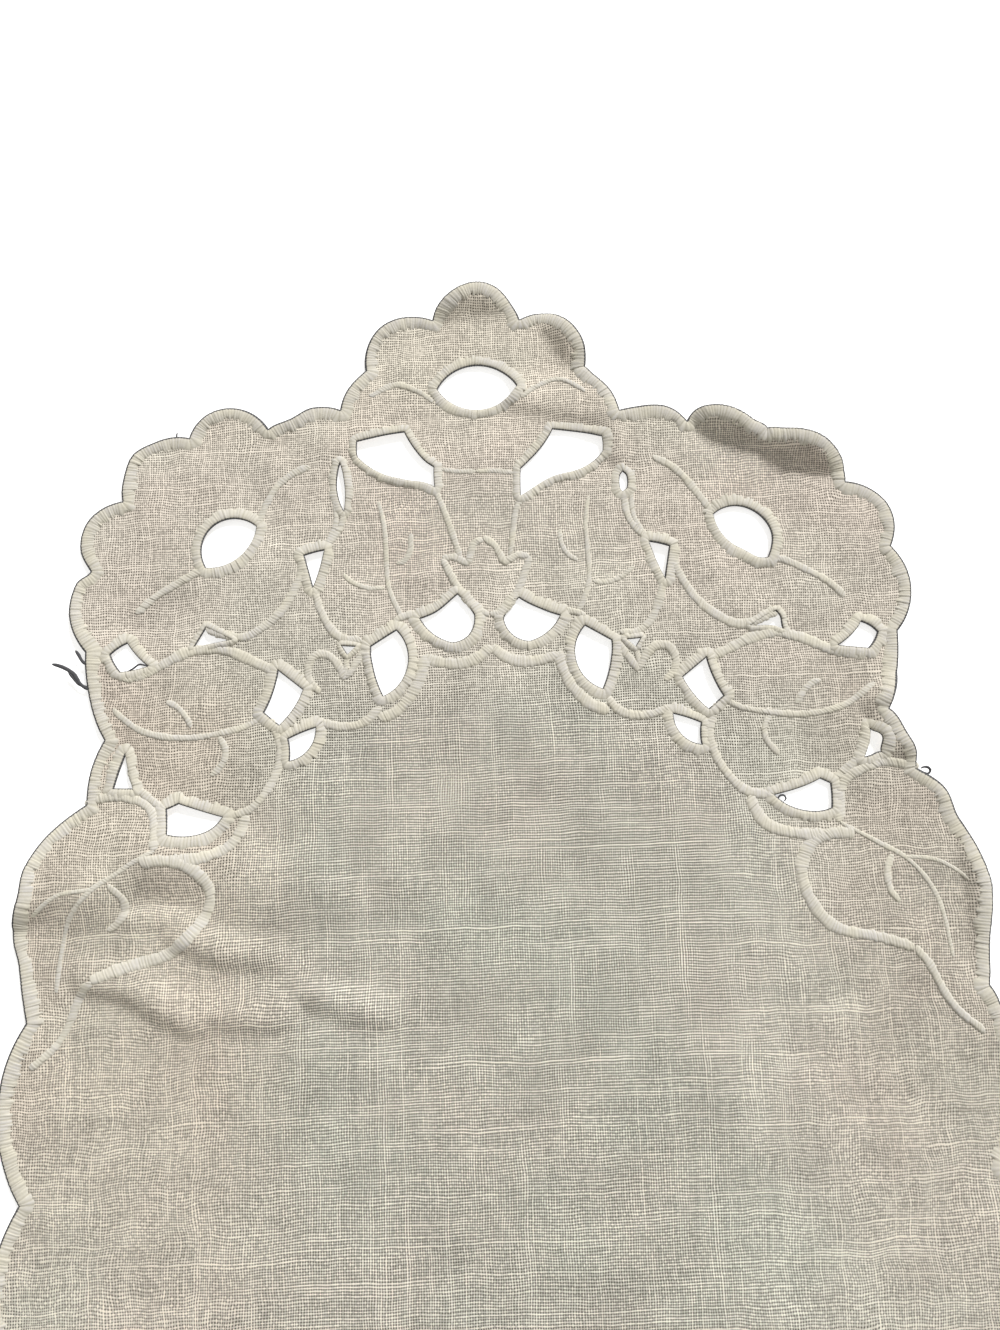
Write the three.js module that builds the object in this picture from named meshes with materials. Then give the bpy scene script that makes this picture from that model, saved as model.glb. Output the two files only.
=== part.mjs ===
// Cutwork table runner: one piece of linen lying on a table, in millimetres, +Z up.
// X runs across the runner and Y along it, with the origin under the middle of the cloth.
// The scalloped edge and the cut gaps are buttonholed, and padded outlines draw the flowers,
// buds and leaves. The chart holds half of one end. It is mirrored for the other half, and the
// whole end is turned half a turn to make the far end.
import * as THREE from "three";

// Cloth and stitching
const CLOTH = 1.0;
const EDGE_WIDTH = 4.2;
const RIM_WIDTH = 3.4;
const OUTLINE_WIDTH = 2.8;
const EDGE_RISE = 0.8;
const OUTLINE_RISE = 0.6;

// How finely the shapes are divided
const EDGE_STEP = 4.6;
const RIM_STEP = 3.4;
const OUTLINE_STEP = 6.0;
const SIDE_STEP = 12;
const FIELD_STEP = 38;
const CLEARANCE = 1.4;

// Plain scallops along each long side, between the two ends
const SIDE_SCALLOPS = 8;
const SIDE_BOW = 0.3;

// Scallops of one half end, from the tip round to the side: the corner where each one starts,
// and its bow, the height of its arc over half its chord
const TIP_BOW = 0.85;
const SCALLOPS = [
  { across: 14.6, along: 437.3, bow: 0.6 },
  { across: 38.2, along: 419.2, bow: 0.2 },
  { across: 47.8, along: 403.4, bow: 0.36 },
  { across: 72.2, along: 398.5, bow: 0.66 },
  { across: 99.0, along: 395.5, bow: 0.54 },
  { across: 122.1, along: 374.3, bow: 0.54 },
  { across: 134.2, along: 351.6, bow: 0.37 },
  { across: 133.6, along: 322.9, bow: 0.14 },
  { across: 127.1, along: 295.5, bow: 0.2 },
  { across: 132.6, along: 275.2, bow: 0.23 },
  { across: 153.2, along: 239.0, bow: 0.03 },
  { across: 148.5, along: 208.7, bow: 0 },
];

// The one gap on the centre line, the eye of the end flower
const END_EYE = { half: 13.9, along: 411.8, upper: 0.62, lower: 0.56 };

// Gaps of one half end. Each corner is [across, along, bow of the side to the next corner],
// clockwise, and a side with a negative bow bends into the gap
const GAPS = {
  besideEndFlower: [
    [25.3, 396.4, 0.04],
    [42, 393.3, 0.08],
    [42, 388, 0.17],
    [30, 380.5, -0.1],
    [14.4, 374.3, 0],
    [14.6, 383, -0.12],
  ],
  slit: [[48, 383, 0.3], [47.3, 371, 0.19]],
  belowSlit: [[54.4, 355.6, 0.05], [61.3, 353.8, 0], [58.7, 342.6, 0.05]],
  besideBud: [[10.1, 337.9, -0.08], [23.4, 331.3, 0.22], [13, 322.8, 0.42], [4.8, 331.2, 0.06]],
  besideTulip: [[31.2, 327.6, 0], [39.8, 322.4, 0.08], [39.4, 316.5, 0.08], [36, 305.9, 0.55]],
  aboveTulip: [[44.7, 322.5, 0], [49.5, 322.9, 0], [47.5, 319.8, 0]],
  diamond: [[70.5, 315.7, -0.1], [75.3, 302.2, 0], [70.1, 297.9, 0.12], [62.2, 309.1, 0]],
  belowTulip: [[58.2, 297, 0.05], [67.4, 293.6, -0.1], [67, 286.3, 0.39]],
  underFlower: [[120.5, 325.8, 0.1], [126, 322, 0.1], [122.5, 316.3, 0.05], [113, 318, -0.1]],
  underPetal: [[94.2, 330.2, 0], [98.2, 323.7, 0], [85.5, 325.9, 0]],
  besideLeaf: [[120.3, 291, 0.05], [124.3, 280, 0], [117.5, 279.5, -0.05]],
  aboveLeaf: [[103, 274.2, 0], [106.5, 272.5, 0], [105.8, 264.5, 0.33], [88.7, 269.5, -0.05]],
  flowerEye: [[77, 364.5, 0.85], [94.5, 350.5, 0.4]],
};

// Padded outlines of one half end, each a smooth line through [across, along]
const OUTLINES = {
  endPetal: [[37.2, 409.3], [28.4, 413.6], [20.2, 411], [15.2, 407.2]],
  calyx: [[0, 381.6], [12.3, 381.8]],
  column: [[14.5, 374], [11.6, 366], [8.4, 352]],
  budSide: [[14.7, 351.5], [10.2, 341], [7, 335.5], [3.5, 332.7], [0, 332]],
  budCrown: [[14.7, 351.7], [10.4, 352], [6.4, 350], [4.7, 353], [3.2, 356.3], [0, 358]],
  petalDivide: [[35.5, 372], [33.8, 361], [33.5, 343], [29.3, 332]],
  petalSide: [[47.3, 371], [49, 363], [54.8, 355.5]],
  petalHem: [[58.3, 343], [56.3, 335.5], [53, 328.7], [48.5, 325.2], [42.5, 324.8]],
  petalJoin: [[32, 330.6], [28.5, 332.2], [24.5, 333]],
  flowerUpper: [[58.5, 385.4], [65.5, 382], [71.3, 376.3], [77, 364.5]],
  flowerLower: [[95, 350.3], [104.2, 345.3], [112, 340.5], [117.4, 335.2]],
  flowerHem: [[62, 352], [63, 346], [68.5, 336], [75, 330], [82.8, 326.6], [94.4, 329.6]],
  upperLeafTop: [[122, 314], [112, 316.6], [100, 322.1], [88, 322.4], [77, 317.8], [71, 315]],
  upperLeafFoot: [[124.5, 304.8], [114, 297.5], [99.5, 295.1], [82.7, 297.5], [75, 301.5]],
  roundLeafInner: [[73, 300], [69.8, 291], [71.7, 281.3], [79, 271.8], [88.7, 269.5]],
  roundLeafOuter: [[119, 290], [116.5, 280.6], [106.5, 272.3]],
  tulipFoot: [[57.8, 299], [51, 297], [45, 297], [40.5, 299], [37.3, 303]],
  tulipLobe: [
    [48.2, 312],
    [50.5, 316.5],
    [54, 320],
    [58.3, 319.8],
    [60.5, 316],
    [59.8, 311.5],
    [56.5, 308],
  ],
  fieldScallopBud: [[0, 321.5], [4, 318.2], [8, 316.4], [13, 315.9], [19, 317], [22, 318.5]],
  fieldScallopTulip: [[21.8, 319], [22.6, 315], [24.3, 310], [27.5, 305], [32, 300.8], [37.5, 298.8]],
  fieldScallopLeaf: [[80.8, 269.8], [82.6, 264.5], [86, 260.2], [92, 257.8], [99, 256.4], [104, 256.6]],
  leafSpine: [[108.5, 260], [120.7, 253.3], [130.2, 247], [137, 235.6], [139.7, 217.5]],
  leafBranch: [[128, 248.5], [137, 247.5], [143, 244.3], [147, 241]],
  leafTop: [[133.5, 275.8], [122, 277.5], [111, 272.5], [108.5, 260]],
  leafRound: [
    [113, 256.6],
    [105.5, 256.6],
    [99.5, 254.2],
    [95.8, 248.5],
    [95.3, 243],
    [97, 236.8],
    [101, 230.8],
    [106.5, 227],
    [118, 224.3],
    [128.3, 221],
  ],
  leafStem: [[128.3, 221], [132.5, 215.5], [136, 207], [140, 201], [147, 195.3]],
};

// The end is turned and shifted a little against the rest of the cloth
const END_TURN = 0.014;
const END_SHIFT = -1.5;
const TURN_FROM = 290;
const TURN_FULL = 330;
const SHIFT_FULL = 410;

// Places where the edge is pulled in the plane, and how far round each pull reaches
const PULLS = [
  { across: 54, along: 405, byAcross: 0.5, byAlong: -2.2, reach: 20 },
  { across: -48, along: 404, byAcross: 0.5, byAlong: 1.6, reach: 15 },
  { across: -65, along: 402.5, byAcross: 1.2, byAlong: -1.5, reach: 9 },
  { across: 92, along: 402, byAcross: -3, byAlong: -3.7, reach: 30 },
  { across: 99, along: 395.5, byAcross: 1.2, byAlong: 1.4, reach: 7 },
  { across: -95, along: 400, byAcross: -0.5, byAlong: 1, reach: 35 },
  { across: -117, along: 389, byAcross: -0.8, byAlong: 1, reach: 9 },
  { across: -30, along: 430, byAcross: -0.4, byAlong: 0.8, reach: 18 },
  { across: -8, along: 448, byAcross: 0.6, byAlong: -0.5, reach: 16 },
  { across: 15, along: 437, byAcross: 1, byAlong: -0.6, reach: 9 },
  { across: 40, along: 417, byAcross: -1, byAlong: -1.2, reach: 10 },
  { across: 128, along: 364, byAcross: 1.2, byAlong: 0.6, reach: 14 },
  { across: 133, along: 345, byAcross: 0.9, byAlong: 0.2, reach: 50 },
  { across: -130, along: 362, byAcross: -0.9, byAlong: 0.3, reach: 14 },
  { across: -134, along: 351, byAcross: 1.6, byAlong: -1.4, reach: 6 },
  { across: -137, along: 338, byAcross: -0.5, byAlong: 0, reach: 16 },
  { across: 132, along: 280, byAcross: 2.2, byAlong: 1, reach: 26 },
  { across: 139, along: 268, byAcross: 2.4, byAlong: 0.5, reach: 12 },
  { across: 131, along: 287, byAcross: -1, byAlong: 0, reach: 8 },
  { across: 151, along: 236, byAcross: 1.1, byAlong: 0, reach: 27 },
  { across: 149, along: 209, byAcross: 1.4, byAlong: 0.3, reach: 18 },
  { across: -132, along: 280, byAcross: 1, byAlong: -0.4, reach: 26 },
  { across: -145, along: 260, byAcross: -0.7, byAlong: 0.5, reach: 28 },
  { across: -151, along: 247, byAcross: 1.3, byAlong: 0, reach: 9 },
  { across: -153.5, along: 234, byAcross: -1.2, byAlong: 0, reach: 9 },
  { across: 0, along: 377, byAcross: -2, byAlong: 0, reach: 40 },
  { across: 15, along: 375, byAcross: -0.3, byAlong: -1.8, reach: 12 },
  { across: -15, along: 376, byAcross: -0.4, byAlong: 2.2, reach: 12 },
  { across: 48, along: 384, byAcross: 0, byAlong: -2.4, reach: 6 },
  { across: 47.3, along: 370, byAcross: 0, byAlong: 2.6, reach: 6 },
  { across: -48, along: 383.5, byAcross: 0, byAlong: 3, reach: 7 },
  { across: -47.3, along: 370.5, byAcross: 0, byAlong: -2.2, reach: 7 },
  { across: 69, along: 376, byAcross: -1.7, byAlong: 0, reach: 16 },
  { across: 93, along: 350, byAcross: -0.8, byAlong: -1.6, reach: 8 },
  { across: -8, along: 336, byAcross: -0.6, byAlong: 1.7, reach: 12 },
  { across: 8, along: 333, byAcross: -0.7, byAlong: -0.4, reach: 10 },
  { across: 98, along: 323.7, byAcross: -1.8, byAlong: 0.4, reach: 6 },
  { across: 93, along: 326.5, byAcross: 0.5, byAlong: 1.1, reach: 8 },
  { across: 121, along: 321, byAcross: 1.9, byAlong: 0.9, reach: 12 },
  { across: 122, along: 284, byAcross: 1.2, byAlong: 1.2, reach: 9 },
  { across: 120.3, along: 291, byAcross: 0.4, byAlong: -1.8, reach: 6 },
  { across: 124.3, along: 280, byAcross: -2.2, byAlong: 0.4, reach: 6 },
  { across: -98, along: 269, byAcross: 1.7, byAlong: 0, reach: 14 },
  { across: 101, along: 268, byAcross: 1.9, byAlong: 0, reach: 14 },
  { across: -95, along: 244, byAcross: 3.5, byAlong: 0.2, reach: 20 },
  { across: -121, along: 242, byAcross: 4, byAlong: 1, reach: 16 },
];

// Soft folds of the near end: a crest from one place to another, its height, and how far it
// slopes to the left and to the right of the way along it
const FOLDS = [
  { from: [-157, 243.5], to: [-133, 248], height: 3.4, left: 28, right: 9 },
  { from: [-133, 248], to: [-112, 257.5], height: 3.6, left: 28, right: 15 },
  { from: [-112, 257.5], to: [-99, 255], height: 3.4, left: 15, right: 15 },
  { from: [-117, 239], to: [-103, 238.5], height: 1.1, left: 5, right: 7 },
  { from: [-80, 247], to: [-58, 246], height: 2.2, left: 20, right: 20 },
  { from: [-80.5, 262], to: [-85.5, 240], height: 0.8, left: 4, right: 5 },
  { from: [-101, 232.5], to: [-88, 227.5], height: 1.8, left: 11, right: 6 },
  { from: [-88, 227.5], to: [-74, 226], height: 1.8, left: 11, right: 7 },
  { from: [-130, 221], to: [-115, 217], height: 1.9, left: 10, right: 6.5 },
  { from: [-115, 217], to: [-97, 207.5], height: 2.2, left: 10, right: 7.5 },
  { from: [-92, 209], to: [-70, 207.5], height: 1.5, left: 9, right: 6.5 },
  { from: [-58, 213.5], to: [-38, 207], height: 1.8, left: 9, right: 7 },
  { from: [15, 406], to: [41, 400.5], height: 1.6, left: 17, right: 6 },
  { from: [43, 403], to: [46, 386], height: 1.2, left: 6, right: 6 },
];

// Edges of the near end that curl up: the middle of the hinge line, the heading in degrees in
// which the cloth beyond it rises, half the hinge's length, and the bend's radius and angle
const CURLS = [
  { across: 97.4, along: 381.8, heading: 67, half: 26, radius: 4, angle: 52 },
  { across: -2.5, along: 435, heading: 97, half: 9, radius: 9, angle: 32 },
  { across: 24.5, along: 424, heading: 31, half: 8, radius: 4, angle: 32 },
  { across: 121, along: 289, heading: 18, half: 7, radius: 3, angle: 24 },
  { across: 141.9, along: 259.5, heading: 25, half: 7, radius: 2.5, angle: 36 },
  { across: 145.1, along: 233, heading: 1, half: 22, radius: 2.5, angle: 36 },
];
const CURL_FADE = 8;
const CURL_STEP = 5;

// The stitched rim of a curled edge bends back level: its width, and how softly it bends
const LEVEL_RIM = 5;
const RIM_EASE = 1.2;

const LINEN_COLOUR = 0xc4bda9;
const LINEN_ROUGHNESS = 0.92;

const flat = (across, along) => new THREE.Vector2(across, along);
const mirrored = (p) => flat(-p.x, p.y);
const turned = (p) => flat(-p.x, -p.y);
const smooth = (from, to, value) => THREE.MathUtils.smoothstep(value, from, to);

// Points from a to just before b on an arc that bows to the left of the way
function bowed(a, b, bow, step) {
  const way = b.clone().sub(a);
  const angle = 4 * Math.atan(bow);
  const length = way.length() * (1 + (2 / 3) * bow * bow);
  const count = Math.max(1, Math.round(length / step));
  const points = [];
  for (let i = 0; i < count; i += 1) {
    const share = i / count;
    if (Math.abs(angle) < 1e-6) {
      points.push(a.clone().addScaledVector(way, share));
      continue;
    }
    const radius = way.length() / (2 * Math.sin(angle / 2));
    const middle = way.clone().rotateAround(flat(0, 0), -Math.PI / 2);
    middle.setLength(1).multiplyScalar(radius * Math.cos(angle / 2));
    middle.add(a).addScaledVector(way, 0.5);
    points.push(a.clone().rotateAround(middle, -angle * share));
  }
  return points;
}

// A closed loop of bowed sides through rows of [across, along, bow]
function bowedLoop(corners, step) {
  return corners.flatMap(([across, along, bow], i) => {
    const [nextAcross, nextAlong] = corners[(i + 1) % corners.length];
    return bowed(flat(across, along), flat(nextAcross, nextAlong), bow, step);
  });
}

// Moves a charted point of an end to where it lies in the cloth
function settled(p) {
  const place = flat(p.x, p.y);
  place.x += END_SHIFT * smooth(TURN_FULL, SHIFT_FULL, p.y);
  place.y -= END_TURN * p.x * smooth(TURN_FROM, TURN_FULL, p.y);
  for (const pull of PULLS) {
    const share = 1 - smooth(0, pull.reach, Math.hypot(p.x - pull.across, p.y - pull.along));
    place.x += pull.byAcross * share;
    place.y += pull.byAlong * share;
  }
  return place;
}

// The outer edge, clockwise: the near end from its left side to its right, the right side, and
// the same again turned half a turn
function outerEdge() {
  const corners = SCALLOPS.map((row) => flat(row.across, row.along));
  const right = SCALLOPS.slice(0, -1).flatMap((row, i) =>
    bowed(corners[i], corners[i + 1], row.bow, EDGE_STEP));
  const side = corners.at(-1);
  const left = [...right.slice(1), side].map(mirrored).reverse();
  const tip = bowed(mirrored(corners[0]), corners[0], TIP_BOW, EDGE_STEP);
  const end = [...left, ...tip, ...right];
  const scallop = (2 * side.y) / SIDE_SCALLOPS;
  for (let i = 0; i < SIDE_SCALLOPS; i += 1) {
    const start = flat(side.x, side.y - i * scallop);
    end.push(...bowed(start, flat(side.x, start.y - scallop), SIDE_BOW, SIDE_STEP));
  }
  const half = end.map(settled);
  return [...half, ...half.map(turned)];
}

// All the gaps of both ends
function gapLoops() {
  const { half, along, upper, lower } = END_EYE;
  const eye = bowedLoop([[-half, along, upper], [half, along, lower]], RIM_STEP);
  const charted = Object.values(GAPS).map((corners) => bowedLoop(corners, RIM_STEP));
  const near = [eye, ...charted, ...charted.map((loop) => loop.map(mirrored))];
  const settledNear = near.map((loop) => loop.map(settled));
  return [...settledNear, ...settledNear.map((loop) => loop.map(turned))];
}

// All the padded outlines of both ends, as rows of points
function outlineRows() {
  const charted = Object.values(OUTLINES).map((row) => {
    const curve = new THREE.SplineCurve(row.map(([across, along]) => flat(across, along)));
    return curve.getSpacedPoints(Math.max(2, Math.round(curve.getLength() / OUTLINE_STEP)));
  });
  const near = [...charted, ...charted.map((row) => row.map(mirrored))];
  const settledNear = near.map((row) => row.map(settled));
  return [...settledNear, ...settledNear.map((row) => row.map(turned))];
}

// Distance from a point to a segment, and to a row of points, closed or open
function toSegment(p, a, b) {
  const x = b.x - a.x;
  const y = b.y - a.y;
  const share = ((p.x - a.x) * x + (p.y - a.y) * y) / (x * x + y * y);
  const held = Math.min(1, Math.max(0, share));
  return Math.hypot(a.x + held * x - p.x, a.y + held * y - p.y);
}
function toRow(p, row, closed) {
  let least = Infinity;
  for (let i = closed ? 0 : 1; i < row.length; i += 1) {
    least = Math.min(least, toSegment(p, row.at(i - 1), row[i]));
  }
  return least;
}

// Whether a point is inside a closed loop
function within(p, loop) {
  let inside = false;
  for (let i = 0; i < loop.length; i += 1) {
    const a = loop.at(i - 1);
    const b = loop[i];
    if (a.y > p.y !== b.y > p.y && p.x < a.x + ((p.y - a.y) / (b.y - a.y)) * (b.x - a.x)) {
      inside = !inside;
    }
  }
  return inside;
}

const edge = outerEdge();
const gaps = gapLoops();
const outlines = outlineRows();
const onCloth = (p) => within(p, edge) && !gaps.some((loop) => within(p, loop));

// Rise of the stitching above the cloth: highest at a cut edge, and rounded over an outline
function stitchRise(p) {
  const round = (distance, width) => Math.max(0, 1 - (distance / width) ** 2);
  const atEdge = round(toRow(p, edge, true), EDGE_WIDTH);
  const atGap = round(Math.min(...gaps.map((loop) => toRow(p, loop, true))), RIM_WIDTH);
  const atLine = round(Math.min(...outlines.map((row) => toRow(p, row, false))), OUTLINE_WIDTH / 2);
  return Math.max(EDGE_RISE * atEdge, EDGE_RISE * atGap, OUTLINE_RISE * atLine);
}

// Rise of a fold at a point, steeper on the side where its slope is shorter
function foldRise(p, { from, to, height, left, right }) {
  const start = flat(...from);
  const way = flat(...to).sub(start).normalize();
  const distance = toSegment(p, start, flat(...to));
  const lean = distance > 0 ? way.cross(p.clone().sub(start)) / distance : 0;
  const reach = (left + right) / 2 + ((left - right) / 2) * lean;
  return height * (1 - smooth(0, 1, distance / reach));
}

// How far a point lies beyond the hinge of a curl, and how far the cloth there turns up
function lift(p, { across, along, heading, half, angle }) {
  const turn = THREE.MathUtils.degToRad(heading);
  const out = flat(Math.cos(turn), Math.sin(turn));
  const from = flat(p.x - across, p.y - along);
  const fade = 1 - smooth(half, half + CURL_FADE, Math.abs(from.cross(out)));
  return { out, beyond: from.dot(out), most: THREE.MathUtils.degToRad(angle) * fade };
}

// How much of a curled edge has bent back level at a point of its rim
function levelled(p) {
  const into = Math.max(0, LEVEL_RIM - toRow(p, edge, true));
  return into < RIM_EASE ? into ** 2 / (2 * RIM_EASE) : into - RIM_EASE / 2;
}

// Where a point of the flat cloth's underside lies once the folds and curls are in it
function laid(p) {
  const place = new THREE.Vector3(p.x, p.y, 0);
  place.z = FOLDS.reduce((sum, fold) => sum + foldRise(p, fold) ** 4, 0) ** 0.25;
  for (const curl of CURLS) {
    const { out, beyond, most } = lift(p, curl);
    if (beyond <= 0 || most === 0) continue;
    const level = Math.min(beyond, levelled(p));
    const bend = Math.min(most, (beyond - level) / curl.radius);
    const straight = beyond - level - bend * curl.radius;
    const reach = curl.radius * Math.sin(bend) + straight * Math.cos(bend) + level;
    place.x += out.x * (reach - beyond);
    place.y += out.y * (reach - beyond);
    place.z += curl.radius * (1 - Math.cos(bend)) + straight * Math.sin(bend);
  }
  return place;
}

// The same point raised square to the cloth
function raised(p, height) {
  const step = 0.5;
  const place = laid(p);
  const across = laid(flat(p.x + step, p.y)).sub(place);
  const along = laid(flat(p.x, p.y + step)).sub(place);
  return place.addScaledVector(across.cross(along).normalize(), height);
}

// Points beside a row, to its right when the distance is positive
function beside(row, distance, closed) {
  return row.map((p, i) => {
    const before = closed ? row.at(i - 1) : row[Math.max(0, i - 1)];
    const after = closed ? row[(i + 1) % row.length] : row[Math.min(row.length - 1, i + 1)];
    const way = after.clone().sub(before).setLength(distance);
    return flat(p.x + way.y, p.y - way.x);
  });
}

// Points round a gap, at a distance from its rim
function around(loop, distance) {
  return beside(loop, THREE.ShapeUtils.isClockWise(loop) ? -distance : distance, true);
}

// Points that carry the folds and curls, and a wide net over the plain field
function foldPoints() {
  const points = [];
  for (const { from, to, left, right } of FOLDS) {
    const count = Math.round(flat(...from).distanceTo(flat(...to)) / right);
    const crest = new THREE.LineCurve(flat(...from), flat(...to)).getSpacedPoints(count);
    for (const aside of [0, -left / 2, right / 2, -left, right]) {
      points.push(...beside(crest, aside, false));
    }
  }
  for (const curl of CURLS) {
    const { across, along, heading, half, radius, angle } = curl;
    const out = flat(1, 0).rotateAround(flat(0, 0), THREE.MathUtils.degToRad(heading));
    const bend = radius * THREE.MathUtils.degToRad(angle);
    for (let way = -half - CURL_FADE; way <= half + CURL_FADE; way += CURL_STEP) {
      for (const beyond of [0, bend / 2, bend]) {
        const x = across + out.x * beyond - out.y * way;
        points.push(flat(x, along + out.y * beyond + out.x * way));
      }
    }
    const curled = (p) => lift(p, curl).beyond > 0 && lift(p, curl).most > 0;
    points.push(...beside(edge, LEVEL_RIM, true).filter(curled));
  }
  return points;
}
function fieldPoints() {
  const points = [];
  const wide = SCALLOPS.at(-1).across - FIELD_STEP / 2;
  const long = SCALLOPS.at(-1).along + FIELD_STEP;
  for (let y = -long; y <= long; y += FIELD_STEP) {
    for (let x = -wide; x <= wide; x += (2 * wide) / 8) points.push(flat(x, y));
  }
  return points;
}

// Keeps the points that are on the cloth and clear of its edges and of each other
function spaced(points, loops) {
  const kept = [];
  const cells = new Map();
  const cell = (x, y) => `${Math.floor(x / CLEARANCE)},${Math.floor(y / CLEARANCE)}`;
  for (const p of points) {
    if (!onCloth(p) || loops.some((loop) => toRow(p, loop, true) < CLEARANCE)) continue;
    let near = false;
    for (const x of [-1, 0, 1]) {
      for (const y of [-1, 0, 1]) {
        const others = cells.get(cell(p.x + x * CLEARANCE, p.y + y * CLEARANCE)) ?? [];
        near ||= others.some((other) => other.distanceTo(p) < CLEARANCE);
      }
    }
    if (near) continue;
    const key = cell(p.x, p.y);
    cells.set(key, [...(cells.get(key) ?? []), p]);
    kept.push(p);
  }
  return kept;
}

// Delaunay triangles of flat points, added from left to right. A triangle whose circle lies
// wholly left of the next point is done
function triangles(points) {
  const far = 1e5;
  const all = [...points, flat(-far, -far), flat(far, -far), flat(0, far)];
  const circled = (a, b, c) => {
    const p = all[a];
    const bx = all[b].x - p.x;
    const by = all[b].y - p.y;
    const cx = all[c].x - p.x;
    const cy = all[c].y - p.y;
    const twice = 2 * (bx * cy - by * cx);
    const x = (cy * (bx * bx + by * by) - by * (cx * cx + cy * cy)) / twice;
    const y = (bx * (cx * cx + cy * cy) - cx * (bx * bx + by * by)) / twice;
    return { corners: [a, b, c], x: p.x + x, y: p.y + y, square: x * x + y * y };
  };
  const order = points.map((_, i) => i).sort((a, b) => points[a].x - points[b].x);
  const done = [];
  let open = [circled(points.length, points.length + 1, points.length + 2)];
  for (const i of order) {
    const p = all[i];
    const kept = [];
    const hollow = new Map();
    for (const triangle of open) {
      const x = p.x - triangle.x;
      const y = p.y - triangle.y;
      if (x > 0 && x * x > triangle.square) {
        done.push(triangle);
      } else if (x * x + y * y >= triangle.square) {
        kept.push(triangle);
      } else {
        triangle.corners.forEach((a, k) => {
          const b = triangle.corners[(k + 1) % 3];
          if (!hollow.delete(`${b},${a}`)) hollow.set(`${a},${b}`, [a, b]);
        });
      }
    }
    for (const [a, b] of hollow.values()) kept.push(circled(a, b, i));
    open = kept;
  }
  const whole = [...done, ...open].map((triangle) => triangle.corners);
  return whole.filter((corners) => Math.max(...corners) < points.length);
}

// Triangles of the cloth between its loops, with a list of the loop sides they lack
function filled(loops, inner) {
  const points = [...loops.flat(), ...inner];
  const faces = triangles(points).filter(([a, b, c]) =>
    onCloth(points[a].clone().add(points[b]).add(points[c]).divideScalar(3)));
  const sides = new Set(faces.flatMap(([a, b, c]) => [`${a},${b}`, `${b},${c}`, `${c},${a}`]));
  const lacking = [];
  let first = 0;
  loops.forEach((loop, k) => {
    loop.forEach((_, i) => {
      const next = first + ((i + 1) % loop.length);
      if (!sides.has(`${first + i},${next}`) && !sides.has(`${next},${first + i}`)) lacking.push([k, i]);
    });
    first += loop.length;
  });
  return { points, faces, lacking };
}

// Splits each loop side that is lacking at its middle, the last ones first
function split(loops, lacking) {
  for (const [k, i] of lacking.toReversed()) {
    const loop = loops[k];
    loop.splice(i + 1, 0, loop[i].clone().lerp(loop[(i + 1) % loop.length], 0.5));
  }
}

// The runner as one closed sheet: a stitched upper face, a plain underside and the cut edges
function runnerGeometry() {
  const loops = [edge, ...gaps].map((loop) => [...loop]);
  const carriers = [...foldPoints(), ...fieldPoints()];
  const feet = [...beside(edge, EDGE_WIDTH, true), ...gaps.flatMap((loop) => around(loop, RIM_WIDTH))];
  const ridges = outlines.flatMap((row) => [
    ...row,
    ...beside(row, OUTLINE_WIDTH / 2, false),
    ...beside(row, -OUTLINE_WIDTH / 2, false),
  ]);
  const upperInner = spaced([...ridges, ...feet, ...carriers], loops);
  const lowerInner = spaced(carriers, loops);
  let upper = filled(loops, upperInner);
  let lower = filled(loops, lowerInner);
  while (upper.lacking.length + lower.lacking.length > 0) {
    split(loops, upper.lacking.length > 0 ? upper.lacking : lower.lacking);
    upper = filled(loops, upperInner);
    lower = filled(loops, lowerInner);
  }
  const top = upper.points.map((p) => raised(p, CLOTH + stitchRise(p)));
  const under = lower.points.map((p) => laid(p));
  const shift = top.length;
  const faces = [...upper.faces, ...lower.faces.map(([a, b, c]) => [a + shift, c + shift, b + shift])];
  const inFaces = new Set(upper.faces.flatMap(([a, b, c]) => [`${a},${b}`, `${b},${c}`, `${c},${a}`]));
  let first = 0;
  for (const loop of loops) {
    for (let i = 0; i < loop.length; i += 1) {
      const ends = [first + i, first + ((i + 1) % loop.length)];
      const [a, b] = inFaces.has(`${ends[0]},${ends[1]}`) ? ends : ends.toReversed();
      faces.push([b, a, a + shift], [b, a + shift, b + shift]);
    }
    first += loop.length;
  }
  const geometry = new THREE.BufferGeometry().setFromPoints([...top, ...under]);
  geometry.setIndex(faces.flat());
  geometry.computeVertexNormals();
  return geometry;
}

const linen = new THREE.MeshStandardMaterial({
  color: LINEN_COLOUR,
  roughness: LINEN_ROUGHNESS,
  metalness: 0,
});
const runner = new THREE.Mesh(runnerGeometry(), linen);
runner.name = "runner";

const cutworkRunner = new THREE.Group();
cutworkRunner.add(runner);

export default cutworkRunner;
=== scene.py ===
import math

import bpy
import numpy as np
from mathutils import Matrix, Vector
from mathutils.geometry import delaunay_2d_cdt
from mathutils.kdtree import KDTree


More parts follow.
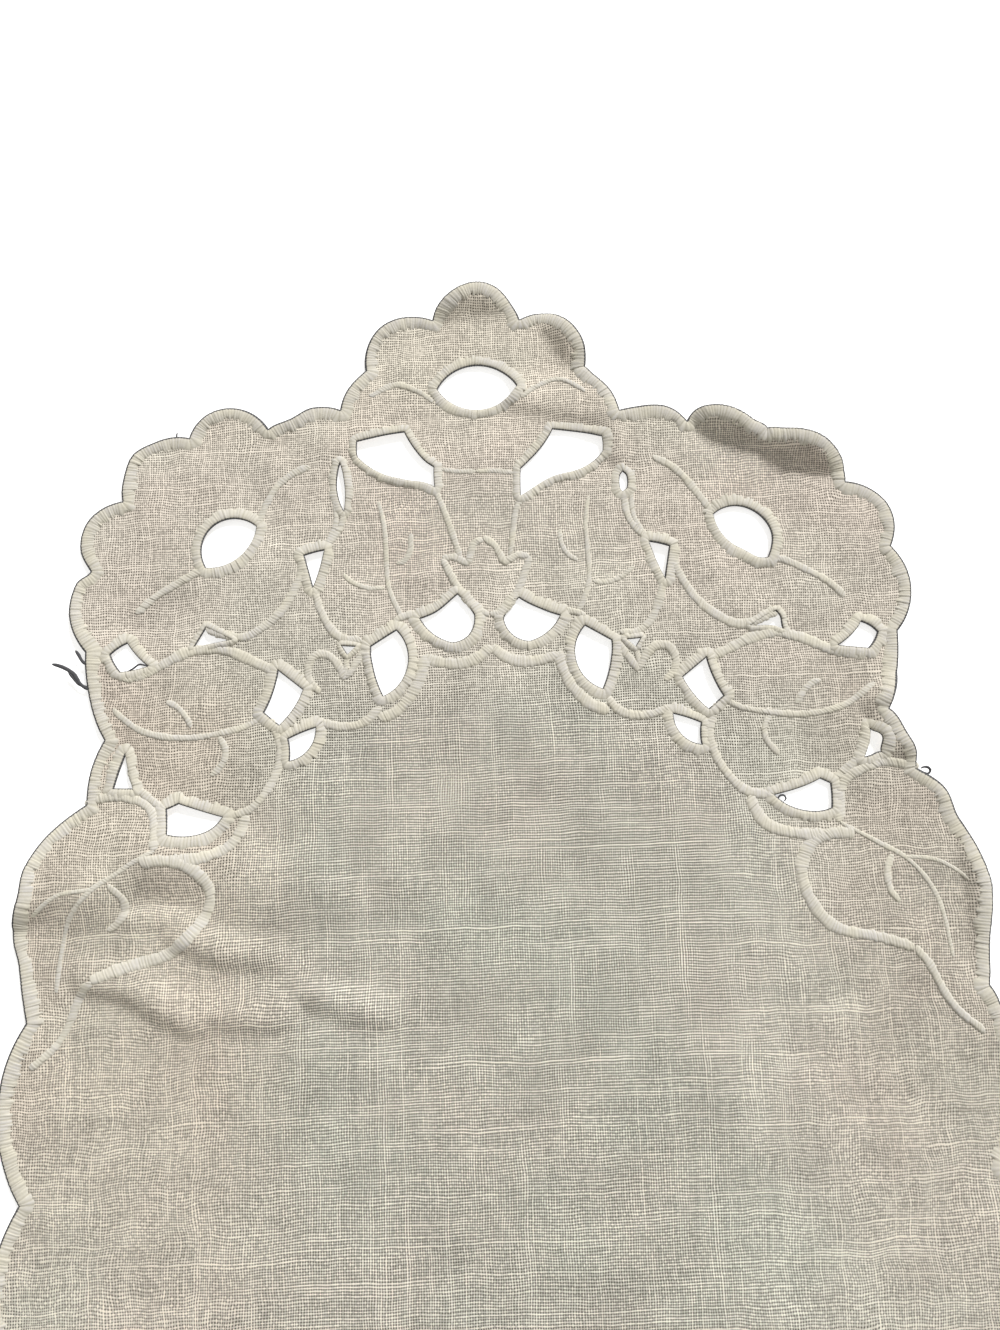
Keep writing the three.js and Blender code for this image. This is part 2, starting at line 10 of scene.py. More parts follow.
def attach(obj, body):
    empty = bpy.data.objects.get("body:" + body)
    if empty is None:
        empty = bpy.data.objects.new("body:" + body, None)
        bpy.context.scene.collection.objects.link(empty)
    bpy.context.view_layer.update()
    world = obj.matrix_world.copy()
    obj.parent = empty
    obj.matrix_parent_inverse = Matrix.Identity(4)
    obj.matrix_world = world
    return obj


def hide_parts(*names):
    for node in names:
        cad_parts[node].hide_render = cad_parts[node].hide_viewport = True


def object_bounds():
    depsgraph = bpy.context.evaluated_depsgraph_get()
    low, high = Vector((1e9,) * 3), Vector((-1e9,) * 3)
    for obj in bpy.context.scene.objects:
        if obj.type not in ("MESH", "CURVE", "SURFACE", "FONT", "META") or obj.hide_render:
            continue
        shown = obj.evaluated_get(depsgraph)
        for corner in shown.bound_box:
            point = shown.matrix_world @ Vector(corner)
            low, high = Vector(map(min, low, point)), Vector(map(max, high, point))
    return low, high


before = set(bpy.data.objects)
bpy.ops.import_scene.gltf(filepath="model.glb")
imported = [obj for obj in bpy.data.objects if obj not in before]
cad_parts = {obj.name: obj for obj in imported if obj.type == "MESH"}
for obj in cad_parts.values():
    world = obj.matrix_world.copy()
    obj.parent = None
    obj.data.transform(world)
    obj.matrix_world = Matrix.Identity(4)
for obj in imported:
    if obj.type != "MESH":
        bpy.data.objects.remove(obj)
cad_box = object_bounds()

MM = 0.001
RANDOM = np.random.default_rng(7)

# Plain scallops along each long side, between the two ends
SIDE_SCALLOPS = 8
SIDE_BOW = 0.3

# Scallops of one half end, from the tip round to the side: the corner where each one starts
# (across, along), and its bow, the height of its arc over half its chord
TIP_BOW = 0.85
SCALLOPS = [
    (14.6, 437.3, 0.6),
    (38.2, 419.2, 0.2),
    (47.8, 403.4, 0.36),
    (72.2, 398.5, 0.66),
    (99.0, 395.5, 0.54),
    (122.1, 374.3, 0.54),
    (134.2, 351.6, 0.37),
    (133.6, 322.9, 0.14),
    (127.1, 295.5, 0.2),
    (132.6, 275.2, 0.23),
    (153.2, 239.0, 0.03),
    (148.5, 208.7, 0),
]

# The eye of the end flower, on the centre line: half its width, its place, and its two bows
EYE_HALF = 13.9
EYE_ALONG = 411.8
EYE_UPPER = 0.62
EYE_LOWER = 0.56

# Gaps of one half end. Each corner is (across, along, bow of the side to the next corner),
# clockwise, and a side with a negative bow bends into the gap
GAPS = {
    "beside_end_flower": [
        (25.3, 396.4, 0.04),
        (42, 393.3, 0.08),
        (42, 388, 0.17),
        (30, 380.5, -0.1),
        (14.4, 374.3, 0),
        (14.6, 383, -0.12),
    ],
    "slit": [(48, 383, 0.3), (47.3, 371, 0.19)],
    "below_slit": [(54.4, 355.6, 0.05), (61.3, 353.8, 0), (58.7, 342.6, 0.05)],
    "beside_bud": [(10.1, 337.9, -0.08), (23.4, 331.3, 0.22), (13, 322.8, 0.42), (4.8, 331.2, 0.06)],
    "beside_tulip": [(31.2, 327.6, 0), (39.8, 322.4, 0.08), (39.4, 316.5, 0.08), (36, 305.9, 0.55)],
    "above_tulip": [(44.7, 322.5, 0), (49.5, 322.9, 0), (47.5, 319.8, 0)],
    "diamond": [(70.5, 315.7, -0.1), (75.3, 302.2, 0), (70.1, 297.9, 0.12), (62.2, 309.1, 0)],
    "below_tulip": [(58.2, 297, 0.05), (67.4, 293.6, -0.1), (67, 286.3, 0.39)],
    "under_flower": [(120.5, 325.8, 0.1), (126, 322, 0.1), (122.5, 316.3, 0.05), (113, 318, -0.1)],
    "under_petal": [(94.2, 330.2, 0), (98.2, 323.7, 0), (85.5, 325.9, 0)],
    "beside_leaf": [(120.3, 291, 0.05), (124.3, 280, 0), (117.5, 279.5, -0.05)],
    "above_leaf": [(103, 274.2, 0), (106.5, 272.5, 0), (105.8, 264.5, 0.33), (88.7, 269.5, -0.05)],
    "flower_eye": [(77, 364.5, 0.85), (94.5, 350.5, 0.4)],
}

# Padded outlines of one half end: the width of each, and the places (across, along) that its
# smooth line runs through
OUTLINES = {
    "end_petal": (2.0, [(37.2, 409.3), (28.4, 413.6), (20.2, 411), (15.2, 407.2)]),
    "calyx": (1.7, [(0, 381.6), (12.3, 381.8)]),
    "column": (2.2, [(14.5, 374), (11.6, 366), (8.4, 352)]),
    "bud_side": (2.6, [(14.7, 351.5), (10.2, 341), (7, 335.5), (3.5, 332.7), (0, 332)]),
    "bud_crown": (2.5, [(14.7, 351.7), (10.4, 352), (6.4, 350), (4.7, 353), (3.2, 356.3), (0, 358)]),
    "petal_divide": (1.7, [(35.5, 372), (33.8, 361), (33.5, 343), (29.3, 332)]),
    "petal_side": (2.4, [(47.3, 371), (49, 363), (54.8, 355.5)]),
    "petal_hem": (2.8, [(58.3, 343), (56.3, 335.5), (53, 328.7), (48.5, 325.2), (42.5, 324.8)]),
    "petal_join": (2.6, [(32, 330.6), (28.5, 332.2), (24.5, 333)]),
    "flower_upper": (2.7, [(58.5, 385.4), (65.5, 382), (71.3, 376.3), (77, 364.5)]),
    "flower_lower": (2.7, [(95, 350.3), (104.2, 345.3), (112, 340.5), (117.4, 335.2)]),
    "flower_hem": (3.0, [(62, 352), (63, 346), (68.5, 336), (75, 330), (82.8, 326.6), (94.4, 329.6)]),
    "upper_leaf_top": (3.4, [
        (122, 314),
        (112, 316.6),
        (100, 322.1),
        (88, 322.4),
        (77, 317.8),
        (71, 315),
    ]),
    "upper_leaf_foot": (2.1, [(124.5, 304.8), (114, 297.5), (99.5, 295.1), (82.7, 297.5), (75, 301.5)]),
    "round_leaf_inner": (2.9, [(73, 300), (69.8, 291), (71.7, 281.3), (79, 271.8), (88.7, 269.5)]),
    "round_leaf_outer": (2.6, [(119, 290), (116.5, 280.6), (106.5, 272.3)]),
    "tulip_foot": (2.9, [(57.8, 299), (51, 297), (45, 297), (40.5, 299), (37.3, 303)]),
    "tulip_lobe": (2.9, [
        (48.2, 312),
        (50.5, 316.5),
        (54, 320),
        (58.3, 319.8),
        (60.5, 316),
        (59.8, 311.5),
        (56.5, 308),
    ]),
    "tulip_inner": (2.6, [(48.2, 312), (46, 315), (43, 319.5), (41, 322.5)]),
    "scallop_bud": (3.8, [(0, 321.5), (4, 318.2), (8, 316.4), (13, 315.9), (19, 317), (22, 318.5)]),
    "scallop_tulip": (3.8, [
        (21.8, 319),
        (22.6, 315),
        (24.3, 310),
        (27.5, 305),
        (32, 300.8),
        (37.5, 298.8),
    ]),
    "scallop_leaf": (3.7, [
        (80.8, 269.8),
        (82.6, 264.5),
        (86, 260.2),
        (92, 257.8),
        (99, 256.4),
        (104, 256.6),
    ]),
    "leaf_spine": (1.5, [(108.5, 260), (120.7, 253.3), (130.2, 247), (137, 235.6), (139.7, 217.5)]),
    "leaf_branch": (1.3, [(128, 248.5), (137, 247.5), (143, 244.3), (147, 241)]),
    "leaf_top": (3.0, [(133.5, 275.8), (122, 277.5), (111, 272.5), (108.5, 260)]),
    "leaf_round": (3.7, [
        (113, 256.6),
        (105.5, 256.6),
        (99.5, 254.2),
        (95.8, 248.5),
        (95.3, 243),
        (97, 236.8),
        (101, 230.8),
        (106.5, 227),
        (118, 224.3),
        (128.3, 221),
    ]),
    "leaf_stem": (2.6, [(128.3, 221), (132.5, 215.5), (136, 207), (140, 201), (147, 195.3)]),
}

# Veins and other slender lines of one half end
VEINS = {
    "petal": (1.8, [(48.5, 347), (45.1, 344), (40, 342), (34.7, 342.2)]),
    "inner_petal": (1.9, [(25, 360.5), (25.5, 355), (27.5, 351.5), (30.3, 350)]),
    "upper_leaf": (2.1, [(107, 306.6), (103.9, 305.3), (101, 302.6), (98.5, 298.5)]),
    "round_leaf": (2.1, [(89.5, 295), (87.5, 291.5), (87.5, 288), (89.5, 284.8), (92, 282.5)]),
    "lower_leaf": (2.3, [(124.8, 249.3), (122.6, 244.5), (122.8, 238.5), (125.7, 235)]),
    "tulip_middle": (1.6, [(47.5, 319.8), (48.3, 314), (48.2, 311.8)]),
    "flower_side": (1.8, [(51.5, 381.5), (50.2, 372), (50.5, 364), (54.5, 356.5)]),
}

# Loose threads at the near end: the width of each and the places that it runs through
LOOSE_THREADS = [
    (1.3, [
        (-132, 312.4),
        (-134.4, 313.4),
        (-136.1, 315.4),
        (-137.6, 317.8),
        (-140.9, 319.9),
        (-144.6, 321.2),
    ]),
    (0.9, [(-132.4, 313), (-135.6, 314.1), (-137.4, 316), (-139.2, 318.6)]),
    (1.2, [(-133, 320.4), (-134.6, 321.6), (-135.8, 323.6), (-136.9, 325.4)]),
    (0.6, [(-121.2, 317), (-118.2, 318.7), (-116.1, 320), (-112.6, 319)]),
    (0.7, [(136.4, 276), (137.4, 276.4), (138.8, 276.3), (139.6, 275.2), (138.6, 274.2), (137.4, 274.9)]),
    (0.6, [(-104.8, 397.2), (-105.2, 398.6), (-105, 400)]),
    (0.6, [(89.6, 267.6), (90.6, 269), (92, 269.2), (92.6, 268), (91.6, 267.2)]),
]

# The end is turned and shifted a little against the rest of the cloth
END_TURN = 0.014
END_SHIFT = -1.5
TURN_FROM = 290
TURN_FULL = 330
SHIFT_FULL = 410

# Places where the edge is pulled in the plane: (across, along), the pull, and its reach
PULLS = [
    ((54, 405), (0.5, -2.2), 20),
    ((-48, 404), (0.5, 1.6), 15),
    ((-65, 402.5), (1.2, -1.5), 9),
    ((92, 402), (-3, -3.7), 30),
    ((99, 395.5), (1.2, 1.4), 7),
    ((-95, 400), (-0.5, 1), 35),
    ((-117, 389), (-0.8, 1), 9),
    ((-30, 430), (-0.4, 0.8), 18),
    ((-8, 448), (0.6, -0.5), 16),
    ((15, 437), (1, -0.6), 9),
    ((40, 417), (-1, -1.2), 10),
    ((128, 364), (1.2, 0.6), 14),
    ((133, 345), (0.9, 0.2), 50),
    ((-130, 362), (-0.9, 0.3), 14),
    ((-134, 351), (1.6, -1.4), 6),
    ((-137, 338), (-0.5, 0), 16),
    ((132, 280), (2.2, 1), 26),
    ((139, 268), (2.4, 0.5), 12),
    ((131, 287), (-1, 0), 8),
    ((151, 236), (1.1, 0), 27),
    ((149, 209), (1.4, 0.3), 18),
    ((-132, 280), (1, -0.4), 26),
    ((-145, 260), (-0.7, 0.5), 28),
    ((-151, 247), (1.3, 0), 9),
    ((-153.5, 234), (-1.2, 0), 9),
    ((0, 377), (-2, 0), 40),
    ((15, 375), (-0.3, -1.8), 12),
    ((-15, 376), (-0.4, 2.2), 12),
    ((48, 384), (0, -2.4), 6),
    ((47.3, 370), (0, 2.6), 6),
    ((-48, 383.5), (0, 3), 7),
    ((-47.3, 370.5), (0, -2.2), 7),
    ((69, 376), (-1.7, 0), 16),
    ((93, 350), (-0.8, -1.6), 8),
    ((-8, 336), (-0.6, 1.7), 12),
    ((8, 333), (-0.7, -0.4), 10),
    ((98, 323.7), (-1.8, 0.4), 6),
    ((93, 326.5), (0.5, 1.1), 8),
    ((121, 321), (1.9, 0.9), 12),
    ((122, 284), (1.2, 1.2), 9),
    ((120.3, 291), (0.4, -1.8), 6),
    ((124.3, 280), (-2.2, 0.4), 6),
    ((-98, 269), (1.7, 0), 14),
    ((101, 268), (1.9, 0), 14),
    ((-95, 244), (3.5, 0.2), 20),
    ((-121, 242), (4, 1), 16),
]

# Soft folds of the near end: a crest from one place to another, its height, and how far it
# slopes to the left and to the right of the way along it
FOLDS = [
    ((-157, 243.5), (-133, 248), 3.4, 28, 9),
    ((-133, 248), (-112, 257.5), 3.6, 28, 15),
    ((-112, 257.5), (-99, 255), 3.4, 15, 15),
    ((-117, 239), (-103, 238.5), 1.1, 5, 7),
    ((-80, 247), (-58, 246), 2.2, 20, 20),
    ((-80.5, 262), (-85.5, 240), 0.8, 4, 5),
    ((-101, 232.5), (-88, 227.5), 1.8, 11, 6),
    ((-88, 227.5), (-74, 226), 1.8, 11, 7),
    ((-130, 221), (-115, 217), 1.9, 10, 6.5),
    ((-115, 217), (-97, 207.5), 2.2, 10, 7.5),
    ((-92, 209), (-70, 207.5), 1.5, 9, 6.5),
    ((-58, 213.5), (-38, 207), 1.8, 9, 7),
    ((15, 406), (41, 400.5), 1.6, 17, 6),
    ((43, 403), (46, 386), 1.2, 6, 6),
]

# Where folds meet, this power of their heights is added up
FOLD_POWER = 4

# Edges of the near end that curl up: the middle of the hinge line, the heading in degrees in
# which the cloth beyond it rises, half the hinge's length, and the bend's radius and angle
CURLS = [
    ((97.4, 381.8), 67, 26, 4, 52),
    ((-2.5, 435), 97, 9, 9, 32),
    ((24.5, 424), 31, 8, 4, 32),
    ((121, 289), 18, 7, 3, 24),
    ((141.9, 259.5), 25, 7, 2.5, 36),
    ((145.1, 233), 1, 22, 2.5, 36),
]
CURL_FADE = 8

# The stitched rim of a curled edge bends back level: its width, and how softly it bends
LEVEL_RIM = 5
RIM_EASE = 1.2

# Faint ripples all over: wave numbers across and along in turns a metre, phase, and height
RIPPLES = [
    (9, 14, 0.3, 0.26),
    (-17, 11, 1.9, 0.24),
    (23, -19, 4.1, 0.2),
    (-31, 36, 2.6, 0.14),
    (41, 27, 5.3, 0.1),
    (-12, 52, 0.9, 0.08),
]

# Charted lines: how close together their points lie, how many points a smooth line has between
# two places before it is spaced evenly, and how softly a band turns round a corner
CHART_STEP = 0.25
LINE_FINENESS = 40
CORNER_SOFTENING = 1.0

# Linen sheet: the height of its upper face above the table, its thickness, how far its cut edge
# lies inside the stitches, and the step over which its slope is read
LINEN_TOP = 0.6
LINEN_THICK = 0.5
LINEN_INSET = 0.7
SLOPE_STEP = 0.5

# How finely the sheet is divided at the near end, at the far end and between, where the ends
# begin, the spacing of points along the cut edges, how far the others keep from those, and how
# close points are to be joined
NEAR_GRID = 1.8
FAR_GRID = 3.2
FIELD_GRID = 6.0
END_FROM = 185
LOOP_STEP = 1.0
LOOP_CLEARANCE = 0.7
WELD = 1e-6

# Stitches: their pitch along a band, how deep the grooves between them are, the columns of points
# of one stitch with the rib that each makes, and the least count and height of stitches
STITCH_PITCH = 1.0
STITCH_RIB = 0.075
PHASES = np.array([0, 0.25, 0.5, 0.75])
RIB_SHAPE = np.array([-1, 0.3, 0.6, 0.3])
LEAST_STITCHES = 3
LEAST_HEIGHT = 0.05

# How uneven the stitches are: how far each starts off its place, how deep its groove is, how much
# it slants, over how many stitches a drift changes, and the drift and the scatter of its reach,
# lift and tone. Within the even share of a band's width they all reach equally far
START_SCATTER = 0.24
GROOVE_LEAST = 0.1
GROOVE_MOST = 1.4
SLANT = 0.5
SLOW_STITCHES = 7
REACH_DRIFT = 0.14
REACH_SCATTER = 0.14
LIFT_DRIFT = 0.25
LIFT_SCATTER = 0.2
TONE_DRIFT = 0.5
TONE_SCATTER = 0.6
EVEN_SHARE = 0.3

# Buttonhole bands over the outer edge and round the gaps: the width of each, narrower round some
# gaps, and rows of (share of the width from the cut edge, height, painted shade below zero and
# painted light above). The first rows are the cut edge itself, painted dark as a shadow line, and
# the next ones the corded purl along it
EDGE_WIDTH = 4.4
RIM_WIDTH = 3.4
NARROW_RIMS = {
    "beside_end_flower": 2.8,
    "slit": 2.6,
    "above_tulip": 2.0,
    "under_petal": 2.0,
}
EDGE_PROFILE = np.array([
    (0.03, 0.08, -1.6),
    (-0.07, 0.3, -1.6),
    (-0.015, 0.88, -1.6),
    (0.1, 1.02, -1.5),
    (0.135, 1.08, 0.05),
    (0.34, 1.13, 0.1),
    (0.82, 0.96, 0.0),
    (1.0, 0.56, -0.2),
])
RIM_PROFILE = np.array([
    (0.03, 0.08, -1.6),
    (-0.07, 0.3, -1.6),
    (-0.025, 0.68, -1.6),
    (0.03, 0.92, -1.25),
    (0.085, 1.05, 0.05),
    (0.32, 1.13, 0.1),
    (0.82, 0.96, 0.0),
    (1.0, 0.56, -0.2),
])

# Padded lines on the cloth: rows of (share of the half width, height, painted shade below zero and
# painted light above), the width from which a line has its full height, how far its stitches
# lean, the length over which its ends taper, and the share of its width that is left at the very end
LINE_PROFILE = np.array([
    (-1.0, 0.52, -0.2),
    (-0.84, 0.81, 0.0),
    (-0.35, 0.95, 0.05),
    (0.35, 0.95, 0.05),
    (0.84, 0.81, 0.0),
    (1.0, 0.52, -0.2),
])
FULL_HEIGHT_WIDTH = 2.6
LINE_LEAN = 0.4
LINE_TAPER = 1.6
LINE_END = 0.35

# Loose threads have the rows of a padded line, a darker shade and a longer pitch
THREAD_SHADE = -1.75
THREAD_PITCH = 2.5

# Threads of the weave, warp along the runner and weft across it: their pitch, how bright their
# slubs are, and a seed for their noise. Each pair of noise rates below is across the threads, or
# from thread to thread, and then along them
WARP_PITCH = 0.76
WARP_SLUBS = 2.4
WARP_SEED = 1.3
WEFT_PITCH = 0.85
WEFT_SLUBS = 4.4
WEFT_SEED = 7.9

# How far the threads wander, and how far they sway, which is less where the weave is loose
THREAD_WANDER = 0.9
WANDER_RATES = (0.2, 0.012)
THREAD_SWAY = 4.4
SWAY_LESS = 2.4
SWAY_RATES = (0.06, 0.06)
SWAY_SEED = 60

# The width of a thread as a share of its pitch, what a loose weave takes off it and a thick place
# adds to it, and how steeply the thread falls off to its sides into the painted shade of the pores
THREAD_WIDTH = 0.51
LOOSE_LESS = 0.14
THICK_MORE = 0.4
THICK_RATES = (3.71, 0.05)
THICK_SEED = 20
THREAD_ROUNDNESS = 1.35

# The lightness of a thread, what its tone adds to it, the tone from which it shows as a slub, how
# far on it dips under another and by how much painted shade darkens it there, and the least
# lightness of a crossing with what chance adds to it
THREAD_LIGHT = 0.56
TONE_MORE = 0.8
TONE_RATES = (5.13, 0.012)
TONE_SEED = 40
SLUB_FROM = 0.58
HALF_THREAD = 0.5
UNDER_LESS = 0.5
CROSSING_LIGHT = 0.75
CROSSING_MORE = 0.5

# Where the weave is close and where it is loose, along the cloth and across it
CLOSE_FROM = 330
LOOSE_FROM = 300
CLOSE_ASIDE = 100
LOOSE_ASIDE = 60

# Where the tints of the cloth change: towards the tips, painted lighter, and towards the sides of the
# near end, painted darker
TIP_FROM = 385
TIP_FULL = 412
FIELD_MIDDLE = 12
SIDE_FROM = 66
SIDE_FULL = 104
NEAR_FROM = 60
NEAR_FULL = 190

# Linen: the colour of the painted shade in the pores, the colour of threads, the tints with painted
# light at the tips and painted shade at the sides, and the colours of the blotches
PORE_SHADE = (0.062, 0.055, 0.043, 1)
THREAD = (0.8, 0.75, 0.655, 1)
# The tips are tinted lighter as painted light, and the sides of the near end darker as painted shade, the
# right more than the left, and the left also warmer in tone
TIP_PAINTED_LIGHT = (1.06, 1.04, 1.02, 1)
END_TINT = (0.985, 0.965, 0.965, 1)
FIELD_TINT = (0.965, 0.99, 0.995, 1)
LEFT_PAINTED_SHADE = (0.935, 0.9, 0.877, 1)
RIGHT_PAINTED_SHADE = (0.868, 0.845, 0.835, 1)
GREEN_GREY = (0.975, 0.995, 0.985, 1)
PINK_GREY = (1.02, 0.99, 0.985, 1)

# Noise of the linen's blotches of colour, and of its mottling with the least lightness and what
# the noise adds to it
BLOTCH_RATES = (0.02, 0.02)
BLOTCH_SEED = 31
BLOTCH_DETAIL = 3
MOTTLE_RATES = (0.06, 0.06)
MOTTLE_SEED = 12
MOTTLE_DETAIL = 4
MOTTLE_LIGHT = 0.74
MOTTLE_MORE = 0.52

# Embroidery: the colours of the painted shade in the grooves, of thread, and of the painted shadow
# line along the cut edge, which is also the own colour of the loose threads, the rates of the noise
# of its fibres and of its hue, how much tone and fibres change the lightness, and how fast a crown
# below zero goes over to that dark colour
EMBROIDERY_GROOVE_SHADE = (0.49, 0.46, 0.38, 1)
EMBROIDERY_CREAM = (0.62, 0.585, 0.485, 1)
EMBROIDERY_GREY = (0.575, 0.55, 0.515, 1)
CUT_SHADOW_AND_LOOSE_THREAD = (0.075, 0.075, 0.08, 1)
FIBRE_RATE = 0.9
HUE_RATE = 0.16
FIBRE_DETAIL = 3
WORN_TONE = 0.25
WORN_FIBRE = 0.9
WORN_LESS = 0.5
DARKENING_GAIN = 1.4

# Surface of both: the strength and depth of the fine relief, the roughness and what the light
# threads or the fibres change of it, and the sheen
LINEN_RELIEF = 0.6
LINEN_DEPTH = 0.12
LINEN_ROUGH = 0.98
LIGHT_ROUGH = -0.12
EMBROIDERY_RELIEF = 0.5
EMBROIDERY_DEPTH = 0.15
EMBROIDERY_ROUGH = 0.7
FIBRE_ROUGH = 0.2
SHEEN = 0.15

# Camera: the point it looks at, its distance, tilt and roll, its lens, and where its view starts
AIM = Vector((2.6, 315, 1.4)) * MM
DISTANCE = 263 * MM
TILT = math.radians(8)
ROLL = math.radians(2.3)
SENSOR_HEIGHT = 36
LENS = 21.65
VIEW_START = 10 * MM

# Stage: half the width of the floor in metres, the floor and the sky, and the key light's bearing
# to the left of the X axis, its height above the table, its spread and its strength
FLOOR_HALF = 3
FLOOR_COLOUR = (0.93, 0.93, 0.93, 1)
FLOOR_GLOW = 0.55
GLOW_COLOUR = (1, 1, 1, 1)
SKY_COLOUR = (1, 0.985, 0.94, 1)
SKY_STRENGTH = 0.48
KEY_BEARING = math.radians(61)
KEY_HEIGHT = math.radians(32)
KEY_SPREAD = math.radians(14)
KEY_STRENGTH = 4.12


def smooth(start, end, value):
    """Smooth step from 0 at start to 1 at end."""
    share = np.clip((value - start) / (end - start), 0, 1)
    return share * share * (3 - 2 * share)


def mirrored(row):
    """A row on the other side of the centre line."""
    return row * (-1, 1)


def turned(row):
    """A row turned half a turn round the middle of the cloth."""
    return -row


def bowed(a, b, bow):
    """Points from a to just before b on an arc that bows to the left of the way."""
    start = np.array(a[:2], float)
    way = np.array(b[:2], float) - start
    length = np.hypot(*way) * (1 + 2 / 3 * bow * bow)
    count = max(1, round(length / CHART_STEP))
    share = np.arange(count) / count
    if bow == 0:
        return start + share[:, None] * way
    angle = 4 * math.atan(bow)
    aside = np.array((way[1], -way[0])) / (2 * math.tan(angle / 2))
    middle = start + way / 2 + aside
    x, y = start - middle
    turn = -angle * share
    across = x * np.cos(turn) - y * np.sin(turn)
    along = x * np.sin(turn) + y * np.cos(turn)
    return middle + np.column_stack([across, along])


def bowed_loop(corners):
    """A closed loop of bowed sides through corners with the bow of each side."""
    ends = corners[1:] + corners[:1]
    return np.concatenate([bowed(a, b, a[2]) for a, b in zip(corners, ends)])


def lengths(row):
    """Distance of each point of a row from its start, along the row."""
    steps = np.hypot(*np.diff(row, axis=0).T)
    return np.concatenate([[0], np.cumsum(steps)])


def placed(row, at, values):
    """Values of a row read at distances along it."""
    return np.column_stack([np.interp(at, row, column) for column in values.T])


def respaced(row):
    """An open row with its points evenly apart."""
    along = lengths(row)
    count = max(2, round(along[-1] / CHART_STEP))
    return placed(along, np.linspace(0, along[-1], count + 1), row)


def smooth_line(corners):
    """A smooth line through all its corners."""
    points = np.array([corners[0], *corners, corners[-1]], float)
    share = np.linspace(0, 1, LINE_FINENESS, endpoint=False)[:, None]
    pieces = []
    for p0, p1, p2, p3 in zip(points, points[1:], points[2:], points[3:]):
        leave = (p2 - p0) / 2
        arrive = (p3 - p1) / 2
        cubic = (2 * p1 - 2 * p2 + leave + arrive) * share**3
        square = (3 * p2 - 3 * p1 - 2 * leave - arrive) * share**2
        pieces.append(cubic + square + leave * share + p1)
    return respaced(np.concatenate([*pieces, points[-1:]]))


def settled(row):
    """Charted points of an end, moved to where they lie in the cloth."""
    x, y = row.T
    place = row.copy()
    place[:, 0] += END_SHIFT * smooth(TURN_FULL, SHIFT_FULL, y)
    place[:, 1] -= END_TURN * x * smooth(TURN_FROM, TURN_FULL, y)
    for centre, pull, reach in PULLS:
        share = 1 - smooth(0, reach, np.hypot(x - centre[0], y - centre[1]))
        place += np.array(pull) * share[:, None]
    return place


def both_ends(rows):
    """Settled rows of the near end, and the same rows turned for the far end."""
    near = [settled(row) for row in rows]
    return near + [turned(row) for row in near]


def outer_edge():
    """The outer edge, clockwise from the left side of the near end."""
    right = [bowed(a, b, a[2]) for a, b in zip(SCALLOPS, SCALLOPS[1:])]
    side = np.array(SCALLOPS[-1][:2])
    right = np.concatenate(right)
    left = mirrored(np.concatenate([right[1:], [side]]))[::-1]
    corner = np.array(SCALLOPS[0][:2])
    tip = bowed(mirrored(corner), corner, TIP_BOW)
    end = [left, tip, right]
    scallop = 2 * side[1] / SIDE_SCALLOPS
    for i in range(SIDE_SCALLOPS):
        start = side - (0, i * scallop)
        end.append(bowed(start, start - (0, scallop), SIDE_BOW))
    half = settled(np.concatenate(end))
    return np.concatenate([half, turned(half)])


def gap_loops():
    """All the gaps of both ends, clockwise."""
    eye = [(-EYE_HALF, EYE_ALONG, EYE_UPPER), (EYE_HALF, EYE_ALONG, EYE_LOWER)]
    charted = [bowed_loop(corners) for corners in GAPS.values()]
    other = [mirrored(loop)[::-1] for loop in charted]
    return both_ends([bowed_loop(eye), *charted, *other])


def lines(chart):
    """Width and points of all the lines of a chart, at both ends and on both sides."""
    widths = [width for width, _ in chart.values()]
    charted = [smooth_line(corners) for _, corners in chart.values()]
    rows = both_ends(charted + [mirrored(row) for row in charted])
    return list(zip(widths * 4, rows))


def square_to(row, closed):
    """Directions square to a row, to its right, turning softly round its corners."""
    spread = max(1, round(CORNER_SOFTENING / CHART_STEP))
    ends = np.concatenate([row[-spread:], row, row[:spread]])
    if not closed:
        first = row[0] + (row[0] - row[1]) * np.arange(spread, 0, -1)[:, None]
        last = row[-1] + (row[-1] - row[-2]) * np.arange(1, spread + 1)[:, None]
        ends = np.concatenate([first, row, last])
    way = ends[2 * spread:] - ends[:-2 * spread]
    way /= np.hypot(*way.T)[:, None]
    return np.column_stack([way[:, 1], -way[:, 0]])


def tree_of(row):
    """A search tree of the points of a row."""
    tree = KDTree(len(row))
    for i, (x, y) in enumerate(row):
        tree.insert((x, y, 0), i)
    tree.balance()
    return tree


GAP_ROWS = gap_loops()
EDGE_ROW = outer_edge()
EDGE_TREE = tree_of(EDGE_ROW)
EDGE_INWARD = square_to(EDGE_ROW, True)


def depths(points):
    """How deep each point lies inside the outer edge, negative outside it."""
    found = [EDGE_TREE.find((x, y, 0)) for x, y in points]
    nearest = [index for _, index, _ in found]
    distance = np.array([away for _, _, away in found])
    side = np.sum((points - EDGE_ROW[nearest]) * EDGE_INWARD[nearest], axis=1)
    return np.copysign(distance, side)


def levelled(flat):
    """How much of a curled edge has bent back level at points of its rim."""
    into = np.maximum(LEVEL_RIM - depths(flat), 0)
    return np.where(into < RIM_EASE, into**2 / (2 * RIM_EASE), into - RIM_EASE / 2)


def fold_rise(flat, start, end, height, left, right):
    """Rise of a fold at flat points, steeper on the side where its slope is shorter."""
    start = np.array(start, float)
    way = np.array(end, float) - start
    share = np.clip((flat - start) @ way / (way @ way), 0, 1)
    distance = np.hypot(*(flat - start - share[:, None] * way).T)
    across, along = (flat - start).T
    aside = (way[0] * along - way[1] * across) / np.hypot(*way)
    lean = np.divide(aside, distance, out=np.zeros(len(flat)), where=distance > 0)
    reach = (left + right) / 2 + (left - right) / 2 * lean
    return height * (1 - smooth(0, 1, distance / reach))


